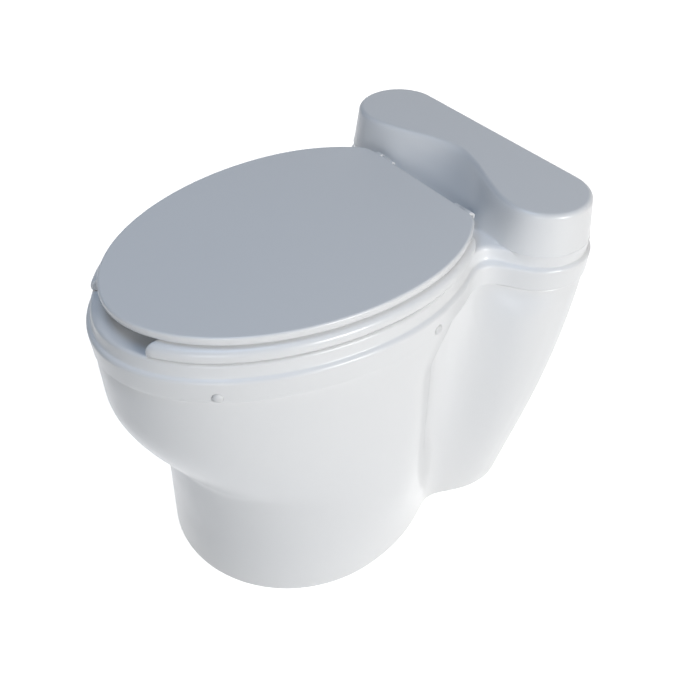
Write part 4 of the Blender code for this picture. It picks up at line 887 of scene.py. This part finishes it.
def metal(name, colour, darker, rough, stretch):
    """Plated steel: fine drawn lines, cloudy plating and uneven gloss."""
    look = Look(bpy.data.materials.new(name), Metallic=1.0)
    lines = look.noise(scale=900.0, detail=3.0, roughness=0.6, stretch=stretch)
    cloud = look.noise(scale=180.0, detail=3.0)
    return look.finish(colour, darker, shade=cloud * 0.7 + lines * 0.3, relief=lines, strength=0.3,
                       depth=0.00002, roughness=lines * 0.12 + cloud * 0.14 + rough)


def pan_screw(head, rise, radius, length, pitch, recess=0.28):
    """Head above z = 0 with a cross recess, threaded shank below."""
    dome = [(head * math.sin(turn), rise * (0.35 + 0.65 * math.cos(turn))) for turn in quarter(9)]
    body, thread = shank(radius, 0.0, -length, pitch)
    screw = lathe("pan_screw", dome + [(head, 0.0)] + body, 40, thread)
    for across, along in ((1, recess), (recess, 1)):
        carve(screw, box("recess", (head * across, head * along, rise), (0, 0, rise * 0.95)))
    return screw


steel_skin = metal("zinc_plated_steel", (0.62, 0.63, 0.64), (0.50, 0.51, 0.53), 0.22, (1, 1, 0.1))
bowl_screw = pan_screw(head=0.0055, rise=0.0020, radius=0.0015, length=0.0044, pitch=0.0008)
under_flange = [((x, y, flange_low - 0.0003), (0, 0, -1)) for x, y in boss_places]
dress(repeat("bowl_screws", bowl_screw, under_flange, steel_skin), steel_skin, "steel", "top",
      *four("bowl_screw"))


# The hinges: two moulded posts on the deck, each held from below by a hex bolt and a washer.
# A steel pin through each post carries the seat's ear inside it and the lid's ear outside it.
post_radius, post_foot = 0.006, 0.4843
post_bolt_span, post_bolt_radius = (0.480, 0.4936), 0.0028
pin_radius, pin_length, pin_start, pin_end_round = 0.003, 0.0342, 0.0689, 0.0007
bolt_face, washer_low = 0.4792, 0.4795
washer_profile = [(0.0028, 0.0001), (0.0030, 0.0), (0.0062, 0.0), (0.0065, 0.0003), (0.0065, 0.0009),
                  (0.0062, 0.0012), (0.0030, 0.0012), (0.0028, 0.0011)]


def hinge_post(sign):
    start = Vector((sign * post_inner, hinge_y, hinge_height))
    end = start + Vector((sign * post_width, 0, 0))
    stem = skin("stem", [corners(*sorted((start.x, end.x)), hinge_y - post_radius, hinge_y + post_radius,
                                 height) for height in (post_foot, hinge_height)])
    post = round_edges(carve(rod("post", start, end, post_radius, 72), stem, "UNION"), ear_round)
    bolt_bore = rods("bore", uprights([(sign * post_middle, hinge_y)], *post_bolt_span), post_bolt_radius, 40)
    return carve(carve(post, pin_bore(start, end)), bolt_bore)


def sided(x, height, direction):
    """A place on each side of the middle line, on the hinge's line."""
    return [((sign * x, hinge_y, height), (sign * direction[0], 0, direction[1])) for sign in (1, -1)]


dress(merge("hinge_posts", [hinge_post(1), hinge_post(-1)]), cap_skin, "cap_white", "top",
      "hinge_post_left", "hinge_post_right", crease=40)
pin_end = [(pin_radius * mix(0.75, 1, math.sin(turn)), pin_end_round * (1 - math.cos(turn)))
           for turn in quarter(6)]
pin = lathe("pin", [(0.0, 0.0)] + pin_end
            + [(radius, pin_length - height) for radius, height in pin_end[::-1]] + [(0.0, pin_length)], 48)
bolt_shank, bolt_thread = shank(radius=0.0025, top=0.0, tip=-0.0141, pitch=0.0008)
bolt = lathe("bolt", [(0.0, 0.0034), (0.0042, 0.0034), (0.0050, 0.0030), (0.0050, 0.0)] + bolt_shank, 48,
             bolt_thread)
carve(bolt, carve(rod("outside", (0, 0, -0.0001), (0, 0, 0.0050), 0.0090, 32),
                  rod("hex", (0, 0, -0.0002), (0, 0, 0.0040), 0.0050, 6)))
washer = lathe("washer", washer_profile, 56)
for name, piece, places in (("pin", pin, sided(pin_start, hinge_height, (1, 0))),
                            ("bolt", bolt, sided(post_middle, bolt_face, (0, -1))),
                            ("washer", washer, sided(post_middle, washer_low, (0, 1)))):
    dress(repeat("hinge_%ss" % name, piece, places, steel_skin), steel_skin, "steel", "top",
          "hinge_%s_left" % name, "hinge_%s_right" % name)


# The buffers: pale rubber pads that keep the seat off the deck and the lid off the seat.
# Each is a small moulded block with round ends and a dished face.
pale_skin = moulded("pale_rubber_skin", (0.74, 0.74, 0.72), (0.66, 0.66, 0.64), 0.72, peel=0.00004,
                    peel_scale=1500)
pad_radius, pad_stretch = 0.003, 0.004
pad_turns = np.linspace(0, 2 * math.pi, 64, endpoint=False)


def buffer_pad(thickness):
    levels = ((0.0, 0.0004), (0.0003, 0.0), (thickness - 0.0004, 0.0), (thickness - 0.0001, 0.0002),
              (thickness, 0.0006), (thickness - 0.0001, 0.0012), (thickness - 0.0003, 0.0016))
    stretch = np.where(np.sin(pad_turns) >= 0, pad_stretch, -pad_stretch)
    return settle(skin("pad", [ring((np.cos(pad_turns) * (pad_radius - inset),
                                     stretch + np.sin(pad_turns) * (pad_radius - inset)), height)
                               for height, inset in levels]))


for body, thickness, spots, height in (("seat", 0.0014, ((0.152, -0.130), (0.142, 0.110)), 0.4843),
                                       ("lid", 0.0019, ((0.140, -0.170), (0.150, 0.080)), 0.5028)):
    places = [((sign * across, bowl_y + back, height), (0, 0, 1))
              for across, back in spots for sign in (1, -1)]
    dress(repeat(body + "_buffers", buffer_pad(thickness), places, pale_skin), pale_skin, "pale_rubber", body,
          *four(body + "_buffer"))


# The rim seal: a black foam wedge round the tub's rim, on which the top moulding sits.
# It is one extruded strip that follows the band's outline.
foam_skin = moulded("black_foam", (0.055, 0.055, 0.057), (0.03, 0.03, 0.032), 0.85, peel=0.00030,
                    peel_scale=700)
seal_profile = soften([(0.0119, 0.4583), (0.0076, 0.4583), (0.0076, 0.4664), (0.0111, 0.4722),
                       (0.0121, 0.4722), (0.0125, 0.4660), (0.0119, 0.4583)], 1)
seal = skin("rim_seal_strip", [plan_ring(band_gap(inset), height) for inset, height in seal_profile],
            capped=False)
dress(settle(seal), foam_skin, "black_rubber", "base", "rim_seal", crease=50)


# The turntable: a grey moulded dish that the container stands in, on a steel spindle.
# It has eight ribs below and runs on four pale glides stuck to the tub's floor.
container_y = 0.0065
on_table = Matrix.Translation((0, container_y, 0))
disc_low, disc_top, hub_low, hub_bore = 0.0151, 0.0191, 0.0071, 0.00808
rib_count, rib_half, rib_inner = 8, 0.001, 0.012
rib_levels = (disc_low - 0.006, 0.030), (disc_low + 0.001, 0.080)
glide_count, glide_reach = 4, 0.095
grey_skin = moulded("grey_moulded_skin", (0.46, 0.47, 0.48), (0.41, 0.42, 0.43), 0.48, peel=0.00008,
                    peel_scale=600)
disc_profile = [(hub_bore, disc_top), (0.1232, disc_top), (0.1240, disc_top + 0.0008), (0.1240, 0.0264),
                (0.1247, 0.0271), (0.1273, 0.0271), (0.1280, 0.0264), (0.1280, 0.0159), (0.1272, disc_low),
                (0.0188, disc_low), (0.0180, disc_low - 0.0008), (0.0180, hub_low + 0.0005),
                (0.0175, hub_low), (hub_bore, hub_low)]
spindle_profile = [(0.0, 0.0188), (0.0074, 0.0188), (0.0080, 0.0182), (0.0080, 0.0074), (0.0086, 0.0068),
                   (0.0155, 0.0068), (0.0160, 0.0063), (0.0160, 0.0042), (0.0156, 0.0038), (0.0, 0.0038)]
glide_profile = [(0.0, 0.0110), (0.0060, 0.0110), (0.0082, 0.0106), (0.0088, 0.0098), (0.0090, 0.0085),
                 (0.0090, 0.0020), (0.0086, 0.0015), (0.0086, 0.0010), (0.0090, 0.0005), (0.0088, 0.0),
                 (0.0, 0.0)]
table = lathe("turntable_dish", disc_profile, 160)
for number in range(rib_count):
    rib = skin("rib", [corners(rib_inner, reach, -rib_half, rib_half, level) for level, reach in rib_levels])
    rib.matrix_world = Matrix.Rotation(2 * math.pi * (number + 0.5) / rib_count, 4, "Z")
    carve(table, rib, "UNION")
dress(table, grey_skin, "grey_plastic", "turntable", "turntable", place=on_table)
dress(lathe("spindle", spindle_profile, 80), steel_skin, "steel", "base", "turntable_spindle", place=on_table)
glide_spots = [((glide_reach * math.cos(turn), container_y + glide_reach * math.sin(turn), floor_top),
                (0, 0, 1)) for turn in 2 * math.pi * (np.arange(glide_count) + 0.5) / glide_count]
dress(repeat("turntable_glides", lathe("glide", glide_profile, 56), glide_spots, pale_skin), pale_skin,
      "pale_rubber", "base", *four("turntable_glide"))


# The container: a grey moulded bucket with a rolled rim, two stiffening beads and two hand grips.
# It stands in the turntable's dish, turns with it and lifts out once the top is off.
container_low, container_wall = 0.0194, 0.0025
taper_low, taper_high, taper_radii = 0.0274, 0.358, (0.118, 0.138)
bead_heights, bead_width, bead_depth = (0.120, 0.240), 0.004, 0.0014
grip_half, grip_corner, grip_side = (0.0085, 0.035), 0.006, 0.1485
grip_slot_half, grip_slot_corner, grip_slot_levels = (0.0036, 0.024), 0.0034, (0.355, 0.370)
grip_levels = (0.3610, 0.0005), (0.3616, 0.0), (0.3649, 0.0), (0.3655, 0.0005)
grip_turns = np.linspace(0, 2 * math.pi, 96, endpoint=False)


def container_radius(height):
    """Outside radius of the tapered wall, with two beads."""
    bead = sum(math.exp(-((height - level) / bead_width) ** 2) for level in bead_heights)
    return mix(*taper_radii, (height - taper_low) / (taper_high - taper_low)) + bead_depth * bead


def plate_ring(half_x, half_y, corner, height, turns, inset=0.0):
    """A plate's outline, a rectangle with round corners, drawn in by an inset."""
    return ring(outline(lambda x, y: block(x, y, half_x, -half_y, half_y, corner) + inset, turns, 0.0),
                height)


def grip(sign):
    """A flat hand grip with round corners and a finger slot."""
    plate = skin("grip", [plate_ring(grip_half[0] - inset, grip_half[1] - inset, grip_corner, height,
                                     grip_turns) for height, inset in grip_levels])
    carve(plate, skin("slot", [plate_ring(*grip_slot_half, grip_slot_corner, height, grip_turns)
                               for height in grip_slot_levels]))
    plate.matrix_world = Matrix.Translation((sign * grip_side, 0, 0))
    return settle(plate)


wall_heights = np.linspace(taper_low, 0.3575, 90)
container_profile = soften([(0.0, container_low + 0.0010), (0.085, container_low + 0.0010),
                            (0.090, container_low), (0.110, container_low), (0.1162, 0.0205),
                            (taper_radii[0], taper_low)], 2)[:-1]
container_profile = [tuple(pair) for pair in container_profile]
container_profile += [(container_radius(height), height) for height in wall_heights]
container_profile += [(0.1385, 0.3580), (0.1424, 0.3580), (0.1430, 0.3586), (0.1430, 0.3645),
                      (0.1424, 0.3656), (0.1410, 0.3660), (0.1370, 0.3660), (0.1358, 0.3655),
                      (0.1354, 0.3640)]
container_profile += [(container_radius(height) - container_wall, height) for height in wall_heights[::-1]]
container_profile += [(0.1130, 0.0232), (0.1095, 0.0219), (0.0, 0.0219)]
container = lathe("container_bucket", container_profile, 160)
carve(container, merge("grips", [grip(1), grip(-1)]), "UNION")
dress(container, grey_skin, "grey_plastic", "turntable", "container", place=on_table)


# The drain: a grey pipe from a cup below the nozzle, round the container and out at the rear.
# Geometry Nodes sweep it along its route; two saddles hold it and a rubber grommet seals it.
pipe_bend, pipe_top, pipe_wall, pipe_past, bore_past_pipe = 0.050, 0.300, 0.002, 0.028, 0.004
sweep_radius, sweep_turns = 0.158, np.radians(np.linspace(-50, 50, 5))
saddle_size, saddle_bore, saddle_round = (0.042, 0.012, 0.024), 0.0166, 0.0007
grommet_below, grommet_proud = 0.0185, 0.0028
cup_profile = [(0.0226, 0.3300), (0.0230, 0.3296), (0.0230, 0.3262), (0.0226, 0.3258), (0.0226, 0.3012),
               (0.0222, 0.2998), (0.0190, 0.2930), (0.0183, 0.2905), (0.0183, 0.2704), (0.0180, 0.2700),
               (0.0166, 0.2700), (0.0163, 0.2704), (0.0163, 0.2915), (0.0170, 0.2940), (0.0205, 0.3015),
               (0.0210, 0.3030), (0.0210, 0.3296), (0.0214, 0.3300)]
rubber_skin = moulded("black_rubber_skin", (0.055, 0.055, 0.056), (0.035, 0.035, 0.036), 0.62, peel=0.00005,
                      peel_scale=1400)
sweeps = node_rule(
    "sweep_along_route", {"Route": "Geometry", "Radius": "Float", "Sides": "Int", "Finish": "Material"},
    {"path": ("GeometryNodeMeshToCurve", {}), "section": ("GeometryNodeCurvePrimitiveCircle", {}),
     "sweep": ("GeometryNodeCurveToMesh", {"Fill Caps": True})},
    (("given", "Route", "path", "Mesh"), ("given", "Radius", "section", "Radius"),
     ("given", "Sides", "section", "Resolution"), ("path", "Curve", "sweep", "Curve"),
     ("section", "Curve", "sweep", "Profile Curve"), ("sweep", "Mesh", "realize", "Geometry")))


def bar(name, points, radius):
    """A round bar along a route."""
    mesh = bpy.data.meshes.new(name)
    mesh.from_pydata([tuple(point) for point in points], [(i, i + 1) for i in range(len(points) - 1)], [])
    return follow(sweeps, name, mesh, Radius=radius, Sides=48, Finish=grey_skin)


def saddle(start, end):
    """A block on the floor, hollowed to the pipe, with soft edges."""
    start, end = Vector(start), Vector(end)
    spot, along = (start + end) / 2, (end - start).normalized()
    foot = box("saddle", saddle_size, (0, 0, 0))
    foot.matrix_world = (Matrix.Translation((spot.x, spot.y, floor_top + saddle_size[2] / 2))
                         @ Matrix.Rotation(math.atan2(-along.x, along.y), 4, "Z"))
    past = along * saddle_size[1]
    cradle = rod("cradle", spot - past, spot + past, saddle_bore, 64)
    return round_edges(carve(settle(foot), cradle), saddle_round)


drain_wall = rear_wall(outlet_height, outlet_side)
pipe_sweep = [(sweep_radius * math.cos(turn), container_y + sweep_radius * math.sin(turn), outlet_height)
              for turn in sweep_turns]
pipe_bends = soften([(0, nozzle_y, outlet_height + pipe_bend), (0, nozzle_y, outlet_height),
                     (pipe_bend, nozzle_y, outlet_height)] + pipe_sweep
                    + [(outlet_side, drain_wall - pipe_bend, outlet_height),
                       (outlet_side, drain_wall, outlet_height)], 4)
drain_pipe, pipe_bore = (
    bar(name, [np.array((0, nozzle_y, pipe_top + past))] + pipe_bends
        + [np.array((outlet_side, drain_wall + pipe_past + past, outlet_height))], radius)
    for name, past, radius in (("drain_pipe", 0, outlet_radius),
                               ("bore", bore_past_pipe, outlet_radius - pipe_wall)))
dress(carve(drain_pipe, pipe_bore), grey_skin, "grey_plastic", "base", "urine_pipe", crease=45)
dress(lathe("drain_cup", cup_profile, 80), grey_skin, "grey_plastic", "base", "pipe_cup",
      place=Matrix.Translation((0, nozzle_y, 0)))
dress(merge("pipe_saddles", [saddle(*pipe_sweep[1:3]), saddle(*pipe_sweep[3:5])]), grey_skin, "grey_plastic",
      "base", "pipe_clip_1", "pipe_clip_2", crease=40)

lie_back = Matrix.Rotation(-math.pi / 2, 4, "X")
grommet_in = rear_wall(outlet_height - grommet_below, outlet_side) - tub_wall
grommet_out = outlet_face + grommet_proud
grommet_profile = [(0.0163, grommet_out - 0.0004), (0.0168, grommet_out), (0.0212, grommet_out),
                   (0.0220, grommet_out - 0.0008), (0.0220, outlet_face + 0.0003),
                   (0.0185, outlet_face + 0.0003), (0.0185, grommet_in + 0.0005), (0.0181, grommet_in),
                   (0.0166, grommet_in), (0.0163, grommet_in + 0.0004)]
dress(lathe("outlet_grommet_ring", grommet_profile, 80), rubber_skin, "black_rubber", "base",
      "outlet_grommet", place=Matrix.Translation((outlet_side, 0, outlet_height)) @ lie_back)


# The vent: a grey duct socket with a square flange, clamped to the rear wall by the fan's screws.
# The fan is a black axial one with three struts, a motor hub and a seven-bladed impeller.
# Both are drawn about Z, with heights for distances back, and then laid back.
in_wall = Matrix.Translation((0, 0, vent_height)) @ lie_back
socket_bore, socket_neck, socket_proud, plate_edge, cut_past = 0.0378, 0.0393, 0.010, 0.0005, 0.004
socket_in, socket_out = flange_back - 0.003, rear_wall(vent_height) + socket_proud
fan_back, fan_depth, fan_bore, fan_plate, fan_barrel = socket_in - 0.0003, 0.025, 0.042, 0.0035, 0.0452
fan_front = fan_back - fan_depth
screw_spread, fan_hole = 0.039, 0.0023
strut_turns, strut_radius, strut_flat, strut_reach = (30, 150, 270), 0.0021, 0.66, (0.012, 0.0437)
strut_middle = fan_back - 0.00155
square_turns = np.linspace(0, 2 * math.pi, 128, endpoint=False)
fan_corners = [(across * screw_spread, rise * screw_spread)
               for across, rise in ((1, 1), (-1, 1), (-1, -1), (1, -1))]
black_skin = moulded("black_moulded_skin", (0.035, 0.035, 0.037), (0.022, 0.022, 0.024), 0.42, peel=0.00007,
                     peel_scale=900)


def square_plate(name, near, far, corner):
    """The flange's square with round corners, between two distances back."""
    return skin(name, [plate_ring(vent_flange, vent_flange, corner, height, square_turns, inset)
                       for height, inset in ((near, plate_edge), (near + plate_edge, 0.0),
                                             (far - plate_edge, 0.0), (far, plate_edge))])


def corner_holes(near, far):
    return rods("holes", uprights(fan_corners, near - cut_past, far + cut_past), fan_hole, 32)


socket_profile = [(socket_bore, socket_in), (vent_radius, socket_in), (vent_radius, socket_out - 0.0006),
                  (vent_radius - 0.0006, socket_out), (socket_bore + 0.0005, socket_out),
                  (socket_bore, socket_out - 0.0005)]
socket = square_plate("vent_duct_socket", socket_in, flange_back, 0.005)
carve(socket, rod("bore", (0, 0, socket_in - cut_past), (0, 0, flange_back + cut_past), socket_neck, 120))
carve(socket, lathe("pipe", socket_profile, 120), "UNION")
carve(socket, corner_holes(socket_in, flange_back))
dress(socket, grey_skin, "grey_plastic", "base", "vent_socket", place=in_wall)

shroud = carve(square_plate("fan_shroud", fan_front, fan_front + fan_plate, 0.004),
               square_plate("rear_plate", fan_back - fan_plate, fan_back, 0.004), "UNION")
carve(shroud, rod("barrel", (0, 0, fan_front + 0.001), (0, 0, fan_back - 0.001), fan_barrel, 144), "UNION")
carve(shroud, skin("bell", [ring((np.cos(square_turns) * radius, np.sin(square_turns) * radius), height)
                            for height, radius in (
    (fan_front - cut_past, 0.0440), (fan_front, 0.0440), (fan_front + 0.0012, 0.0426),
    (fan_front + 0.003, fan_bore), (fan_back - 0.002, fan_bore), (fan_back, 0.0428),
    (fan_back + cut_past, 0.0428))]))
carve(shroud, corner_holes(fan_front, fan_back))
hub_profile = [(0.0, fan_back), (0.0180, fan_back), (0.0190, fan_back - 0.0008), (0.0190, fan_back - 0.003),
               (0.0130, fan_back - 0.003), (0.0130, fan_front + 0.0095), (0.0125, fan_front + 0.009),
               (0.0015, fan_front + 0.009), (0.0015, fan_front + 0.0044), (0.0012, fan_front + 0.004),
               (0.0, fan_front + 0.004)]
carve(shroud, lathe("stator", hub_profile, 96), "UNION")
for turn in strut_turns:
    strut = rod("strut", *((reach, 0, strut_middle) for reach in strut_reach), strut_radius, 20)
    strut.data.transform(Matrix.Translation((0, 0, strut_middle)) @ Matrix.Diagonal((1, 1, strut_flat, 1))
                         @ Matrix.Translation((0, 0, -strut_middle)))
    strut.matrix_world = Matrix.Rotation(-math.radians(turn), 4, "Z")
    carve(shroud, strut, "UNION")
dress(shroud, black_skin, "black_plastic", "base", "fan_frame", place=in_wall)

impeller_front, impeller_back, impeller_bore = fan_front + 0.0015, fan_back - 0.0045, 0.00158
blade_count, blade_radii, blade_chord, blade_chords = 7, (0.0180, 0.0406), 0.019, (0.72, 0.98)
blade_pitch, blade_pitches, blade_swing, blade_thick = math.radians(38), (1, 0.72), math.radians(20), 0.00062
impeller_profile = [(impeller_bore, impeller_front), (0.0170, impeller_front),
                    (0.0184, impeller_front + 0.0005), (0.0190, impeller_front + 0.0020),
                    (0.0190, impeller_back), (0.0170, impeller_back), (0.0170, impeller_front + 0.0020),
                    (impeller_bore, impeller_front + 0.0020)]


def blade_section(share):
    """A thin oval at a share of the blade's length, turned to its pitch and wrapped round the hub."""
    radius, pitch = mix(*blade_radii, share), blade_pitch * mix(*blade_pitches, share)
    turns = np.linspace(0, 2 * math.pi, 20, endpoint=False)
    along = np.cos(turns) * 0.5 * blade_chord * mix(*blade_chords, share)
    thick = np.sin(turns) * blade_thick
    swing = share * blade_swing + (along * math.cos(pitch) + thick * math.sin(pitch)) / radius
    return ring((radius * np.cos(swing), -radius * np.sin(swing)),
                (impeller_front + impeller_back) / 2 + along * math.sin(pitch) - thick * math.cos(pitch))


blade = settle(skin("blade", [blade_section(share) for share in np.linspace(0, 1, 12)]))
blades = repeat("blades", blade, [((0, 0, 0), Euler((0, 0, -2 * math.pi * number / blade_count)))
                                  for number in range(blade_count)], black_skin)
dress(carve(lathe("fan_rotor", impeller_profile, 96), blades, "UNION"), black_skin, "black_plastic", "fan",
      "fan_impeller", place=in_wall)

fan_screw = pan_screw(head=0.0035, rise=0.0020, radius=0.0018, length=0.0343, pitch=0.0010)
fan_face = [((x, fan_front - 0.0003, vent_height + z), (0, -1, 0)) for x, z in fan_corners]
dress(repeat("fan_screws", fan_screw, fan_face, steel_skin), steel_skin, "steel", "base", *four("fan_screw"))


# The power inlet: a black low-voltage socket with a round flange and a contact pin in its bore.
# It is turned in one piece and pushed through the rear wall from outside; depths are from its face.
inlet_out = inlet_face + 0.0023
inlet_profile = ((0.0, 0.0020), (0.0007, 0.0023), (0.0009, 0.0030), (0.0009, 0.0130), (0.0035, 0.0130),
                 (0.0035, 0.0005), (0.0040, 0.0), (0.0104, 0.0), (0.0110, 0.0006), (0.0110, 0.0020),
                 (inlet_radius, 0.0020), (inlet_radius, 0.0212), (0.0072, 0.0220), (0.0, 0.0220))
dress(lathe("inlet_socket", [(radius, inlet_out - depth) for radius, depth in inlet_profile], 64),
      black_skin, "black_plastic", "base", "power_inlet",
      place=Matrix.Translation((inlet_side, 0, inlet_height)) @ lie_back)


# Floor, backdrop and light: a plain white studio that the camera and every gloss see as white.
# The key light is on the right, with a weaker one in front, a small bluish one overhead, which sets
# the tone of the lid and of the console's top, and one behind that shows in no gloss.
floor_half, floor_tone, floor_white = 6.0, 0.80, 0.96
sky_tint, sky_strength = (0.93, 0.96, 1.0), 0.06


def seen(look):
    """1 where the camera, a gloss or a glass looks at a surface itself, and 0 for the light it gives."""
    camera_ray, gloss_ray, glass_ray = (look.node("ShaderNodeLightPath", {}, {}, "Is %s Ray" % kind)
                                        for kind in ("Camera", "Glossy", "Transmission"))
    return camera_ray | gloss_ray | glass_ray


def area_light(name, place, aim, size, power, colour):
    light = stand(name, bpy.data.lights.new(name, "AREA"))
    light.data.size, light.data.energy, light.data.color = size, power, colour
    light.location = place
    light.rotation_euler = (Vector(place) - Vector(aim)).to_track_quat("Z", "Y").to_euler()
    return light


floor_mesh = bpy.data.meshes.new("floor")
floor_mesh.from_pydata(corners(-floor_half, floor_half, -floor_half, floor_half, 0), [], [(0, 1, 2, 3)])
floor = stand("floor", floor_mesh)
floor_look = Look(bpy.data.materials.new("studio_floor"), Base_Color=(floor_tone,) * 3, Roughness=0.9,
                  Specular_IOR_Level=0.1)
floor_glow = floor_look.node("ShaderNodeEmission", {}, {"Strength": seen(floor_look) * floor_white})
floor_both = floor_look.node("ShaderNodeAddShader", {}, {0: Wire(floor_look, floor_look.shader.outputs[0]),
                                                         1: floor_glow})
floor_look.set(floor_look.tree.nodes["Material Output"], "Surface", floor_both)
floor.data.materials.append(floor_look.holder)

sky = Look(bpy.data.worlds.new("studio"), "Background", Color=sky_tint, Strength=sky_strength)
sky_white = sky.node("ShaderNodeBackground", {}, {"Color": (1, 1, 1), "Strength": 1.0})
sky_both = sky.node("ShaderNodeMixShader", {}, {"Fac": seen(sky), 1: Wire(sky, sky.shader.outputs[0]),
                                                2: sky_white})
sky.set(sky.tree.nodes["World Output"], "Surface", sky_both)
bpy.context.scene.world = sky.holder

area_light("key", (2.5, 0.3, 1.35), (0, 0, 0.3), size=0.9, power=36, colour=(1.0, 0.99, 0.97))
area_light("front", (1.6, -1.8, 1.2), (0, -0.1, 0.4), size=0.8, power=9.5, colour=(0.92, 0.96, 1.0))
area_light("top", (0.0, -0.35, 2.0), (0, -0.1, 0.4), size=0.7, power=5.2, colour=(0.50, 0.70, 1.0))
back_light = area_light("back", (-2.2, 1.7, 0.5), (0, 0.1, 0.3), size=1.0, power=24, colour=(1.0, 0.99, 0.98))
back_light.visible_glossy = False

bpy.context.scene.view_settings.view_transform = "Standard"
